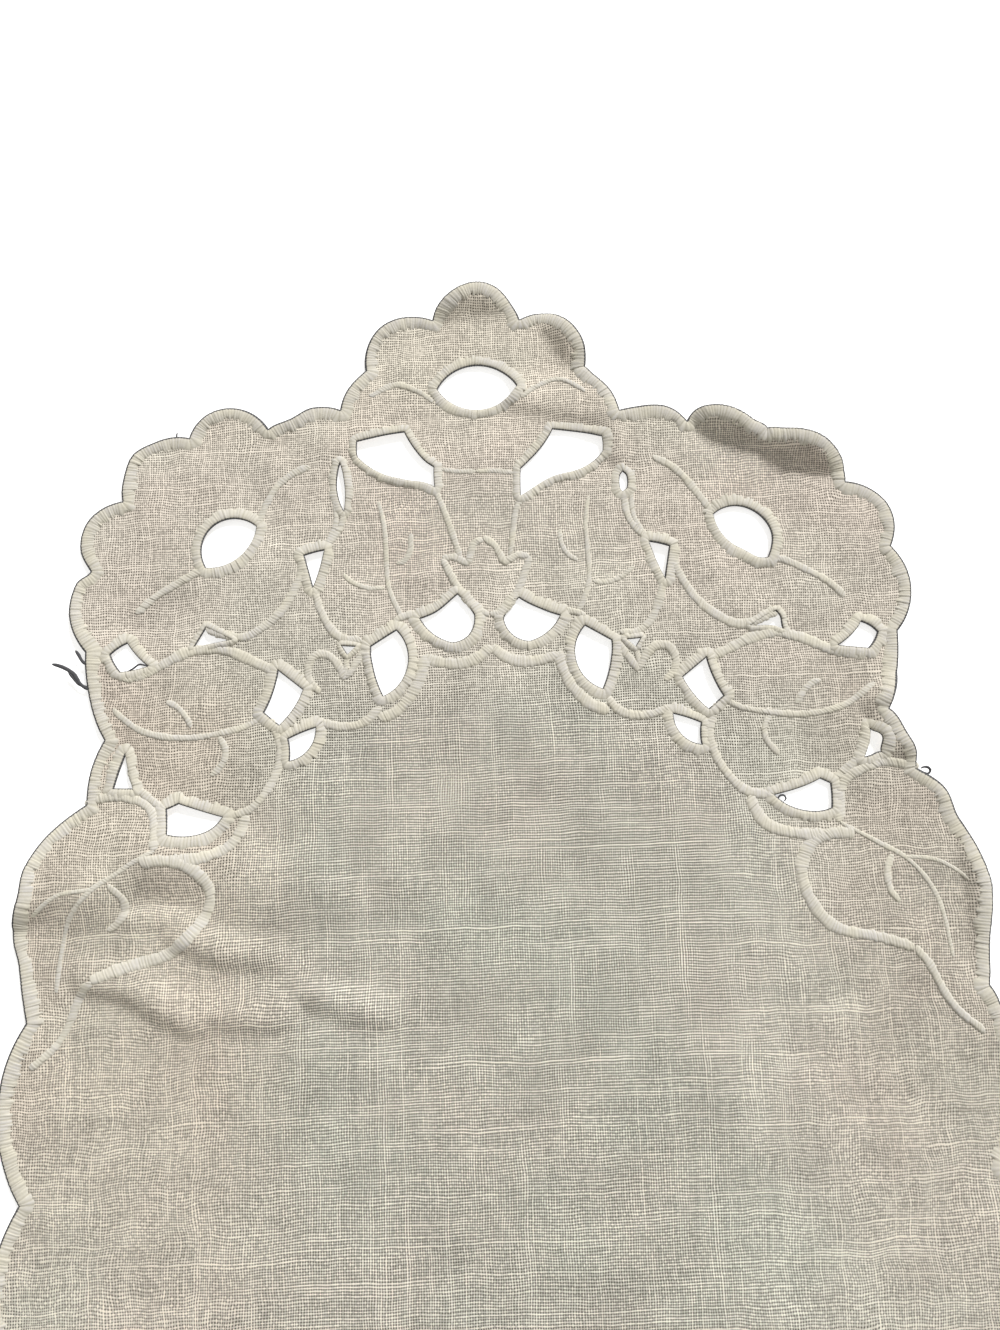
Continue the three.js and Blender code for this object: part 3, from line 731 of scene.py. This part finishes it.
def curl(place, flat, hinge, heading, half, radius, angle):
    """Bend the cloth beyond a hinge line up, in place, with its rim left level."""
    turn = math.radians(heading)
    out = np.array((math.cos(turn), math.sin(turn)))
    away = flat - hinge
    aside = np.abs(away[:, 0] * out[1] - away[:, 1] * out[0])
    most = math.radians(angle) * (1 - smooth(half, half + CURL_FADE, aside))
    curled = (away @ out > 0) & (most > 0)
    beyond = (away @ out)[curled]
    level = np.minimum(beyond, levelled(flat[curled]))
    bend = np.minimum(most[curled], (beyond - level) / radius)
    straight = beyond - level - bend * radius
    reach = radius * np.sin(bend) + straight * np.cos(bend) + level
    place[curled, :2] += out * (reach - beyond)[:, None]
    place[curled, 2] += radius * (1 - np.cos(bend)) + straight * np.sin(bend)


def laid(flat):
    """Where points of the flat cloth lie once its ripples, folds and curls are in it."""
    place = np.column_stack([flat, np.zeros(len(flat))])
    for across, along, phase, height in RIPPLES:
        turn = flat @ np.array((across, along)) * math.tau * MM + phase
        place[:, 2] += height * (1 + np.sin(turn))
    rises = sum(fold_rise(flat, *fold) ** FOLD_POWER for fold in FOLDS)
    place[:, 2] += rises ** (1 / FOLD_POWER)
    for row in CURLS:
        curl(place, flat, *row)
    return place


def raised(flat, height):
    """Flat points at a height above the table, square to the laid cloth."""
    place = laid(flat)
    across = laid(flat + (SLOPE_STEP, 0)) - place
    along = laid(flat + (0, SLOPE_STEP)) - place
    normal = np.cross(across, along)
    normal /= np.linalg.norm(normal, axis=1)[:, None]
    return place + normal * np.reshape(height, (-1, 1))


def mesh_object(name, points, faces, material):
    """A smooth mesh object from points in millimetres."""
    mesh = bpy.data.meshes.new(name)
    mesh.from_pydata((points * MM).tolist(), [], faces.tolist(), shade_flat=False)
    mesh.materials.append(material)
    made = bpy.data.objects.new(name, mesh)
    bpy.context.collection.objects.link(made)
    return made


def put_attribute(made, name, values):
    """A number for each point of a mesh, for its material to read."""
    attribute = made.data.attributes.new(name, "FLOAT", "POINT")
    attribute.data.foreach_set("value", values.astype(np.float32))


def slowly(count):
    """Random values between -1 and 1 that change slowly from stitch to stitch."""
    knots = RANDOM.uniform(-1, 1, count // SLOW_STITCHES + 2)
    return np.interp(np.arange(count) / SLOW_STITCHES, np.arange(len(knots)), knots)


def uneven(count, drift, scatter):
    """A random value for each stitch, with a slow drift and a scatter."""
    return drift * slowly(count) + RANDOM.uniform(-scatter, scatter, count)


def stitch_columns(count, closed):
    """Columns of points along a band: the place of each in stitches from the start, the rib that
    it makes, and the number of its stitch."""
    starts = np.arange(count) + RANDOM.uniform(-START_SCATTER, START_SCATTER, count)
    starts[0] = 0
    spans = np.diff(np.append(starts, count))
    columns = (starts[:, None] + spans[:, None] * PHASES).ravel()
    stitch = np.repeat(np.arange(count), len(PHASES))
    rib = np.tile(RIB_SHAPE, count)
    rib[::len(PHASES)] *= RANDOM.uniform(GROOVE_LEAST, GROOVE_MOST, count)
    if not closed:
        columns = np.append(columns, count)
        rib = np.append(rib, RIB_SHAPE[0])
        stitch = np.append(stitch, count - 1)
    return columns, rib, stitch


def band_faces(rows, wide, closed):
    """Four-sided faces between rows of points, each row with as many points as the band is wide."""
    start = np.arange(wide if closed else wide - 1)
    after = (start + 1) % wide
    faces = [
        np.column_stack([start + low, start + low + wide, after + low + wide, after + low])
        for low in range(0, (rows - 1) * wide, wide)
    ]
    return np.concatenate(faces)


def stitched(row, closed, profile, pitch, lean=0.0, dark=0.0):
    """Stitches side by side along a row. Each row of the profile is a distance to the row's
    right, a height and a painted shade. Returns points, faces, and the crown of each point with its
    painted shade, and its tone."""
    square = square_to(row, closed)
    if closed:
        row = np.concatenate([row, row[:1]])
        square = np.concatenate([square, square[:1]])
    middle = lengths(row + square * np.mean(profile[:, 0]))
    count = max(LEAST_STITCHES, round(middle[-1] / pitch))
    columns, rib, stitch = stitch_columns(count, closed)
    at = columns / count * middle[-1]
    reach = 1 + uneven(count, REACH_DRIFT, REACH_SCATTER)[stitch]
    lift = 1 + uneven(count, LIFT_DRIFT, LIFT_SCATTER)[stitch]
    slant = lean + SLANT * slowly(count)[stitch]
    tone = uneven(count, TONE_DRIFT, TONE_SCATTER)[stitch]
    taper = np.ones(len(at))
    if not closed:
        ends = np.minimum(at, middle[-1] - at)
        taper = LINE_END + (1 - LINE_END) * np.sqrt(np.clip(ends / LINE_TAPER, 0, 1))
    widest = np.abs(profile[:, 0]).max()
    flat = []
    height = []
    for offset, level, _ in profile:
        where = at + slant * offset / widest
        where = where % middle[-1] if closed else np.clip(where, 0, middle[-1])
        aside = placed(middle, where, square)
        aside /= np.hypot(*aside.T)[:, None]
        far = np.where(np.abs(offset) > EVEN_SHARE * widest, reach, 1) * taper
        flat.append(placed(middle, where, row) + aside * (offset * far)[:, None])
        above = (level - LINEN_TOP) * taper * np.where(level > LINEN_TOP, lift, 1)
        height.append(LINEN_TOP + above + rib * STITCH_RIB * taper)
    points = raised(np.concatenate(flat), np.maximum(np.concatenate(height), LEAST_HEIGHT))
    faces = band_faces(len(profile), len(at), closed)
    fullness = (rib - RIB_SHAPE.min()) / np.ptp(RIB_SHAPE)
    # Painted shade: the crown is darkest in the grooves between stitches, at the feet of bands and along
    # the cut edge, and a loose thread adds its own dark colour to it
    crown_and_painted_shade = np.add.outer(profile[:, 2] + dark, fullness).ravel()
    return points, faces, crown_and_painted_shade, np.tile(tone, len(profile))


def stitch_object(name, bands, material):
    """One mesh of many stitched bands."""
    points, faces, crowns_and_painted_shades, tones = zip(*bands)
    firsts = np.cumsum([0] + [len(part) for part in points[:-1]])
    shifted = [part + first for part, first in zip(faces, firsts)]
    made = mesh_object(name, np.concatenate(points), np.concatenate(shifted), material)
    put_attribute(made, "crown_and_painted_shade", np.concatenate(crowns_and_painted_shades))
    put_attribute(made, "tone", np.concatenate(tones))
    return made


def edge_band(loop, width):
    """Buttonhole stitches over the outer edge, with the cloth to its right."""
    return stitched(loop, True, EDGE_PROFILE * (width, 1, 1), STITCH_PITCH)


def rim_band(loop, width):
    """Buttonhole stitches round a gap, with the cloth to its left."""
    return stitched(loop, True, RIM_PROFILE * (-width, 1, 1), STITCH_PITCH)


def line_band(width, row):
    """Close stitches over a padded line, lower where it is narrow."""
    profile = LINE_PROFILE * (width / 2, 1, 1)
    profile[:, 1] = LINEN_TOP + (profile[:, 1] - LINEN_TOP) * min(1, width / FULL_HEIGHT_WIDTH)
    return stitched(row, False, profile, STITCH_PITCH, LINE_LEAN)


def loose_thread(width, corners):
    """A thread end that has come loose."""
    profile = LINE_PROFILE * (width / 2, 1, 0)
    return stitched(smooth_line(corners), False, profile, THREAD_PITCH, dark=THREAD_SHADE)


def grid_points():
    """Points over the whole cloth, closest together at the near end."""
    rows = []
    y = cad_box[0][1] / MM
    shifted = False
    while y < cad_box[1][1] / MM:
        step = NEAR_GRID if y > END_FROM else FAR_GRID if y < -END_FROM else FIELD_GRID
        x = np.arange(cad_box[0][0] / MM, cad_box[1][0] / MM, step) + shifted * step / 2
        rows.append(np.column_stack([x, np.full(len(x), y)]))
        y += step * math.sqrt(3) / 2
        shifted = not shifted
    return np.concatenate(rows)


def inside(points, loops):
    """Which points lie on the cloth: within the outer loop and in no gap."""
    within = np.zeros(len(points), bool)
    for loop in loops:
        near = np.all((points > loop.min(axis=0)) & (points < loop.max(axis=0)), axis=1)
        x, y = points[near].T
        odd = np.zeros(len(x), bool)
        for (ax, ay), (bx, by) in zip(loop, np.roll(loop, -1, axis=0)):
            if ay != by:
                odd ^= ((ay > y) != (by > y)) & (x < ax + (y - ay) / (by - ay) * (bx - ax))
        within[near] ^= odd
    return within


def clear_of(points, rim, distance):
    """Which points are more than a distance from every point of the rim."""
    tree = tree_of(rim)
    return np.array([tree.find((x, y, 0))[2] for x, y in points]) > distance


def inset(loop, distance):
    """A closed loop moved to its right, with its points a step of the sheet apart."""
    moved = loop + square_to(loop, True) * distance
    return moved[::round(LOOP_STEP / CHART_STEP)]


def loop_sides(loops):
    """Sides of closed loops whose points are numbered one loop after another."""
    sides = []
    first = 0
    for loop in loops:
        index = np.arange(len(loop))
        sides.append(np.column_stack([index, (index + 1) % len(loop)]) + first)
        first += len(loop)
    return np.concatenate(sides)


def linen_sheet(material):
    """The linen as one thin closed sheet with its gaps cut out."""
    loops = [inset(EDGE_ROW, LINEN_INSET)]
    loops += [inset(loop, -LINEN_INSET) for loop in GAP_ROWS]
    rim = np.concatenate(loops)
    inner = grid_points()
    inner = inner[inside(inner, loops)]
    inner = inner[clear_of(inner, rim, LOOP_CLEARANCE)]
    corners = [Vector(p) for p in np.concatenate([rim, inner])]
    made = delaunay_2d_cdt(corners, loop_sides(loops).tolist(), [], 0, WELD, False)
    flat = np.array(made[0])
    faces = np.array(made[2])
    faces = faces[inside(flat[faces].mean(axis=1), loops)]
    one = flat[faces[:, 1]] - flat[faces[:, 0]]
    other = flat[faces[:, 2]] - flat[faces[:, 0]]
    under = one[:, 0] * other[:, 1] < one[:, 1] * other[:, 0]
    faces[under] = faces[under][:, ::-1]
    return closed_sheet(flat, faces, material)


def closed_sheet(flat, faces, material):
    """Upper face, underside and narrow walls of a flat triangulated sheet."""
    points = np.concatenate([raised(flat, LINEN_TOP), raised(flat, LINEN_TOP - LINEN_THICK)])
    sides = np.concatenate([faces[:, [0, 1]], faces[:, [1, 2]], faces[:, [2, 0]]])
    known = {tuple(side) for side in sides.tolist()}
    open_sides = np.array([side for side in known if side[::-1] not in known])
    a, b = open_sides[np.lexsort(open_sides.T)].T
    below = len(flat)
    walls = [np.column_stack([b, a, a + below]), np.column_stack([b, a + below, b + below])]
    whole = np.concatenate([faces, faces[:, ::-1] + below, *walls])
    made = mesh_object("linen_cloth", points, whole, material)
    chart = made.data.uv_layers.new(name="flat")
    corner = np.concatenate([flat, flat])[whole.ravel()]
    chart.data.foreach_set("uv", corner.astype(np.float32).ravel())
    return made


def new_material(name):
    """A material with nodes."""
    material = bpy.data.materials.new(name)
    material.use_nodes = True
    return material


def shader_node(tree, kind, inputs=(), **settings):
    """A shader node. Each input is a socket and either a value or an output to link."""
    made = tree.nodes.new("ShaderNode" + kind)
    for name, value in settings.items():
        setattr(made, name, value)
    for socket, value in dict(inputs).items():
        if isinstance(value, bpy.types.NodeSocket):
            tree.links.new(value, made.inputs[socket])
        else:
            made.inputs[socket].default_value = value
    return made


def math_node(tree, operation, a, b=0.0, c=0.0):
    """Output of a math node."""
    inputs = {0: a, 1: b, 2: c}
    return shader_node(tree, "Math", inputs, operation=operation).outputs[0]


def ramp(tree, value, start, end):
    """A share that goes from 0 where a value is at its start to 1 at its end."""
    return shader_node(tree, "MapRange", {0: value, 1: start, 2: end}).outputs[0]


def clamped(tree, value):
    """A value kept between 0 and 1."""
    return shader_node(tree, "Clamp", {0: value}).outputs[0]


def streaks(tree, x, y, rates, seed, detail=2.0):
    """Noise between 0 and 1 over two coordinates, each with a rate of its own."""
    slow_x = math_node(tree, "MULTIPLY", x, rates[0])
    slow_y = math_node(tree, "MULTIPLY", y, rates[1])
    where = shader_node(tree, "CombineXYZ", {0: slow_x, 1: slow_y, 2: seed}).outputs[0]
    inputs = {"Vector": where, "Scale": 1.0, "Detail": detail}
    return shader_node(tree, "TexNoise", inputs).outputs[0]


def spread_out(tree, noise):
    """Noise, which mostly keeps to its middle third, spread from 0 to 1."""
    return math_node(tree, "MULTIPLY_ADD", noise, 3.0, -1.0)


def tinted(tree, share, first, second):
    """A colour between two others."""
    inputs = {0: share, 6: first, 7: second}
    return shader_node(tree, "Mix", inputs, data_type="RGBA").outputs[2]


def multiplied(tree, first, second):
    """The product of two colours."""
    inputs = {0: 1.0, 6: first, 7: second}
    made = shader_node(tree, "Mix", inputs, data_type="RGBA", blend_type="MULTIPLY")
    return made.outputs[2]


def surfaced(tree, colour, rough, relief, strength, depth):
    """Give a matt cloth its colour, its roughness and its fine relief."""
    surface = tree.nodes["Principled BSDF"]
    heights = {"Strength": strength, "Distance": depth * MM, "Height": relief}
    bump = shader_node(tree, "Bump", heights).outputs[0]
    tree.links.new(colour, surface.inputs["Base Color"])
    tree.links.new(bump, surface.inputs["Normal"])
    tree.links.new(rough, surface.inputs["Roughness"])
    surface.inputs["Specular IOR Level"].default_value = SHEEN


def weave_threads(tree, across, along, pitch, loose, slubs, seed):
    """One set of threads that run along a coordinate: the count of threads at a place, the number
    of the thread there, and its lightness."""
    wander = streaks(tree, across, along, WANDER_RATES, seed)
    moved = math_node(tree, "MULTIPLY_ADD", wander, THREAD_WANDER, across)
    sway = streaks(tree, across, along, SWAY_RATES, seed + SWAY_SEED)
    reach = math_node(tree, "MULTIPLY_ADD", loose, -SWAY_LESS, THREAD_SWAY)
    swayed = math_node(tree, "MULTIPLY_ADD", sway, reach, moved)
    counted = math_node(tree, "DIVIDE", swayed, pitch)
    number = math_node(tree, "FLOOR", counted)
    aside = math_node(tree, "MULTIPLY_ADD", math_node(tree, "FRACT", counted), 2.0, -1.0)
    thick = streaks(tree, number, along, THICK_RATES, seed + THICK_SEED)
    least = math_node(tree, "MULTIPLY_ADD", loose, -LOOSE_LESS, THREAD_WIDTH)
    width = math_node(tree, "MULTIPLY_ADD", thick, THICK_MORE, least)
    out = math_node(tree, "DIVIDE", aside, width)
    fall = math_node(tree, "MULTIPLY", math_node(tree, "MULTIPLY", out, out), -THREAD_ROUNDNESS)
    profile = clamped(tree, math_node(tree, "ADD", fall, THREAD_ROUNDNESS))
    tone = streaks(tree, number, along, TONE_RATES, seed + TONE_SEED)
    slub = math_node(tree, "MAXIMUM", math_node(tree, "SUBTRACT", tone, SLUB_FROM), 0.0)
    bright = math_node(tree, "MULTIPLY_ADD", slub, slubs, THREAD_LIGHT)
    lightness = math_node(tree, "MULTIPLY_ADD", tone, TONE_MORE, bright)
    return counted, number, math_node(tree, "MULTIPLY", profile, lightness)


def over_under(tree, count, number):
    """A wave between 0 and 1 along a thread that goes over one crossing and under the next."""
    along = math_node(tree, "ADD", math_node(tree, "ADD", count, number), -HALF_THREAD)
    return math_node(tree, "PINGPONG", along, 1.0)


def weave_light(tree, x, y, loose):
    """Lightness of a plain weave, with painted shade in the pores and where a thread dips under another,
    up to the tops of the threads.
    """
    warp = weave_threads(tree, x, y, WARP_PITCH, loose, WARP_SLUBS, WARP_SEED)
    weft = weave_threads(tree, y, x, WEFT_PITCH, loose, WEFT_SLUBS, WEFT_SEED)
    warp_over = over_under(tree, weft[0], warp[1])
    weft_under = over_under(tree, warp[0], weft[1])
    warp_share = math_node(tree, "MULTIPLY_ADD", warp_over, UNDER_LESS, 1 - UNDER_LESS)
    weft_share = math_node(tree, "MULTIPLY_ADD", weft_under, -UNDER_LESS, 1.0)
    warp_top = math_node(tree, "MULTIPLY", warp[2], warp_share)
    weft_top = math_node(tree, "MULTIPLY", weft[2], weft_share)
    crossing = shader_node(tree, "CombineXYZ", {0: warp[1], 1: weft[1]}).outputs[0]
    chance = shader_node(tree, "TexWhiteNoise", {"Vector": crossing}).outputs["Value"]
    share = math_node(tree, "MULTIPLY_ADD", chance, CROSSING_MORE, CROSSING_LIGHT)
    return math_node(tree, "MULTIPLY", math_node(tree, "MAXIMUM", warp_top, weft_top), share)


def tints_and_painted_light(tree, x, y, field):
    """Tints of the ends and the plain field, with painted light at the tips and painted shade towards the
    sides of the near end.
    """
    right = ramp(tree, x, -SIDE_FROM, SIDE_FROM)
    side = tinted(tree, right, LEFT_PAINTED_SHADE, RIGHT_PAINTED_SHADE)
    off_middle = math_node(tree, "ABSOLUTE", math_node(tree, "SUBTRACT", x, FIELD_MIDDLE))
    outward = ramp(tree, off_middle, SIDE_FROM, SIDE_FULL)
    beside = math_node(tree, "MULTIPLY", outward, ramp(tree, y, NEAR_FROM, NEAR_FULL))
    tip = ramp(tree, math_node(tree, "ABSOLUTE", y), TIP_FROM, TIP_FULL)
    end = tinted(tree, tip, END_TINT, TIP_PAINTED_LIGHT)
    return tinted(tree, field, end, tinted(tree, beside, FIELD_TINT, side))


def linen_material():
    """Plain-weave linen with uneven threads, painted shade in the pores between them, faint blotches, and
    painted light and shade over wide parts.
    """
    material = new_material("linen_weave")
    tree = material.node_tree
    chart = shader_node(tree, "UVMap", uv_map="flat").outputs[0]
    place = shader_node(tree, "SeparateXYZ", {0: chart})
    x, y = place.outputs[0], place.outputs[1]
    field = ramp(tree, math_node(tree, "ABSOLUTE", y), CLOSE_FROM, LOOSE_FROM)
    middle = ramp(tree, math_node(tree, "ABSOLUTE", x), CLOSE_ASIDE, LOOSE_ASIDE)
    light = weave_light(tree, x, y, math_node(tree, "MULTIPLY", field, middle))
    # Painted shade: where the threads leave pores, the dark pore colour shows
    weave = tinted(tree, light, PORE_SHADE, THREAD)
    blotch = streaks(tree, x, y, BLOTCH_RATES, BLOTCH_SEED, BLOTCH_DETAIL)
    tint = tinted(tree, spread_out(tree, blotch), GREEN_GREY, PINK_GREY)
    patch = streaks(tree, x, y, MOTTLE_RATES, MOTTLE_SEED, MOTTLE_DETAIL)
    mottle = math_node(tree, "MULTIPLY_ADD", patch, MOTTLE_MORE, MOTTLE_LIGHT)
    # Painted light and shade: lighter at the tips and darker towards the sides of the near end, times the
    # mottling
    tint_and_painted_light = multiplied(tree, tints_and_painted_light(tree, x, y, field), mottle)
    colour = multiplied(tree, multiplied(tree, weave, tint), tint_and_painted_light)
    rough = math_node(tree, "MULTIPLY_ADD", light, LIGHT_ROUGH, LINEN_ROUGH)
    surfaced(tree, colour, rough, light, LINEN_RELIEF, LINEN_DEPTH)
    return material


def thread_noise(tree, rate):
    """Noise in the thread of the embroidery, with a rate in turns a millimetre."""
    place = shader_node(tree, "TexCoord").outputs["Object"]
    inputs = {"Vector": place, "Scale": rate / MM, "Detail": FIBRE_DETAIL}
    return shader_node(tree, "TexNoise", inputs).outputs[0]


def embroidery_material():
    """Matt cotton thread, with painted shade between the stitches and a little uneven from one to the
    next, with a painted shadow line where the cloth is cut, in a dark colour that the loose threads
    have as their own."""
    material = new_material("embroidery_thread")
    tree = material.node_tree
    crown_and_painted_shade = shader_node(tree, "Attribute", attribute_name="crown_and_painted_shade").outputs["Fac"]
    tone = shader_node(tree, "Attribute", attribute_name="tone").outputs["Fac"]
    fibre = thread_noise(tree, FIBRE_RATE)
    hue = spread_out(tree, thread_noise(tree, HUE_RATE))
    thread = tinted(tree, hue, EMBROIDERY_CREAM, EMBROIDERY_GREY)
    fibrous = math_node(tree, "MULTIPLY_ADD", fibre, WORN_FIBRE, -WORN_LESS)
    worn = math_node(tree, "MULTIPLY_ADD", tone, WORN_TONE, fibrous)
    share = clamped(tree, math_node(tree, "ADD", crown_and_painted_shade, worn))
    # Painted shade: the grooves between the stitches and the feet of the bands take the groove colour
    whole = tinted(tree, share, EMBROIDERY_GROOVE_SHADE, thread)
    # Painted shadow: below zero the crown goes over to the dark line of the cut edge, which is also the
    # loose threads' own colour
    cut_shadow_and_thread = clamped(tree, math_node(tree, "MULTIPLY", crown_and_painted_shade, -DARKENING_GAIN))
    colour = tinted(tree, cut_shadow_and_thread, whole, CUT_SHADOW_AND_LOOSE_THREAD)
    rough = math_node(tree, "MULTIPLY_ADD", fibre, FIBRE_ROUGH, EMBROIDERY_ROUGH)
    surfaced(tree, colour, rough, fibre, EMBROIDERY_RELIEF, EMBROIDERY_DEPTH)
    return material


def add_camera():
    """The photograph's view: nearly straight down on the near end."""
    ahead = Vector((0, math.sin(TILT), -math.cos(TILT)))
    level = Vector((1, 0, 0))
    right = Matrix.Rotation(ROLL, 3, ahead) @ level
    up = right.cross(ahead)
    data = bpy.data.cameras.new("camera")
    data.sensor_fit = "VERTICAL"
    data.sensor_height = SENSOR_HEIGHT
    data.lens = LENS
    data.clip_start = VIEW_START
    camera = bpy.data.objects.new("camera", data)
    turn = Matrix((right, up, -ahead)).transposed().to_4x4()
    camera.matrix_world = Matrix.Translation(AIM - ahead * DISTANCE) @ turn
    bpy.context.collection.objects.link(camera)
    bpy.context.scene.camera = camera


def add_floor():
    """A plain pale floor that the cloth lies on."""
    mesh = bpy.data.meshes.new("floor")
    turns = [(-1, -1), (1, -1), (1, 1), (-1, 1)]
    corners = [(x * FLOOR_HALF, y * FLOOR_HALF, 0) for x, y in turns]
    mesh.from_pydata(corners, [], [(0, 1, 2, 3)])
    material = new_material("pale_floor")
    surface = material.node_tree.nodes["Principled BSDF"]
    surface.inputs["Base Color"].default_value = FLOOR_COLOUR
    surface.inputs["Roughness"].default_value = 1.0
    surface.inputs["Specular IOR Level"].default_value = 0.0
    surface.inputs["Emission Color"].default_value = GLOW_COLOUR
    surface.inputs["Emission Strength"].default_value = FLOOR_GLOW
    mesh.materials.append(material)
    floor = bpy.data.objects.new("floor", mesh)
    bpy.context.collection.objects.link(floor)


def add_sky():
    """An even sky."""
    world = bpy.data.worlds.new("sky")
    world.use_nodes = True
    background = world.node_tree.nodes["Background"]
    background.inputs["Color"].default_value = SKY_COLOUR
    background.inputs["Strength"].default_value = SKY_STRENGTH
    bpy.context.scene.world = world
    bpy.context.scene.view_settings.view_transform = "Standard"


def add_key_light():
    """A far soft light from the upper right."""
    data = bpy.data.lights.new("key", "SUN")
    data.angle = KEY_SPREAD
    data.energy = KEY_STRENGTH
    light = bpy.data.objects.new("key", data)
    across = math.cos(KEY_HEIGHT) * math.cos(KEY_BEARING)
    along = math.cos(KEY_HEIGHT) * math.sin(KEY_BEARING)
    back = Vector((across, along, math.sin(KEY_HEIGHT)))
    light.rotation_euler = back.to_track_quat("Z", "Y").to_euler()
    light.location = back
    bpy.context.collection.objects.link(light)


linen = linen_material()
embroidery = embroidery_material()
cloth = linen_sheet(linen)

edging = stitch_object("edge_stitches", [edge_band(EDGE_ROW, EDGE_WIDTH)], embroidery)

# At each end the eye of the end flower comes first, and then the gaps of both sides
side_widths = [NARROW_RIMS.get(name, RIM_WIDTH) for name in GAPS]
rim_widths = [RIM_WIDTH, *side_widths, *side_widths] * 2
rim_bands = [rim_band(loop, width) for loop, width in zip(GAP_ROWS, rim_widths)]
rims = stitch_object("gap_stitches", rim_bands, embroidery)

outline_bands = [line_band(*line) for line in lines(OUTLINES)]
outlines = stitch_object("outline_stitches", outline_bands, embroidery)
slender_bands = [line_band(*line) for line in lines(VEINS)]
slender_bands += [loose_thread(*thread) for thread in LOOSE_THREADS]
veins = stitch_object("vein_stitches", slender_bands, embroidery)

add_camera()
add_floor()
add_sky()
add_key_light()

trim = [edging, rims, outlines, veins]
for piece in [cloth, *trim]:
    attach(piece, "root")
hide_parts("runner")
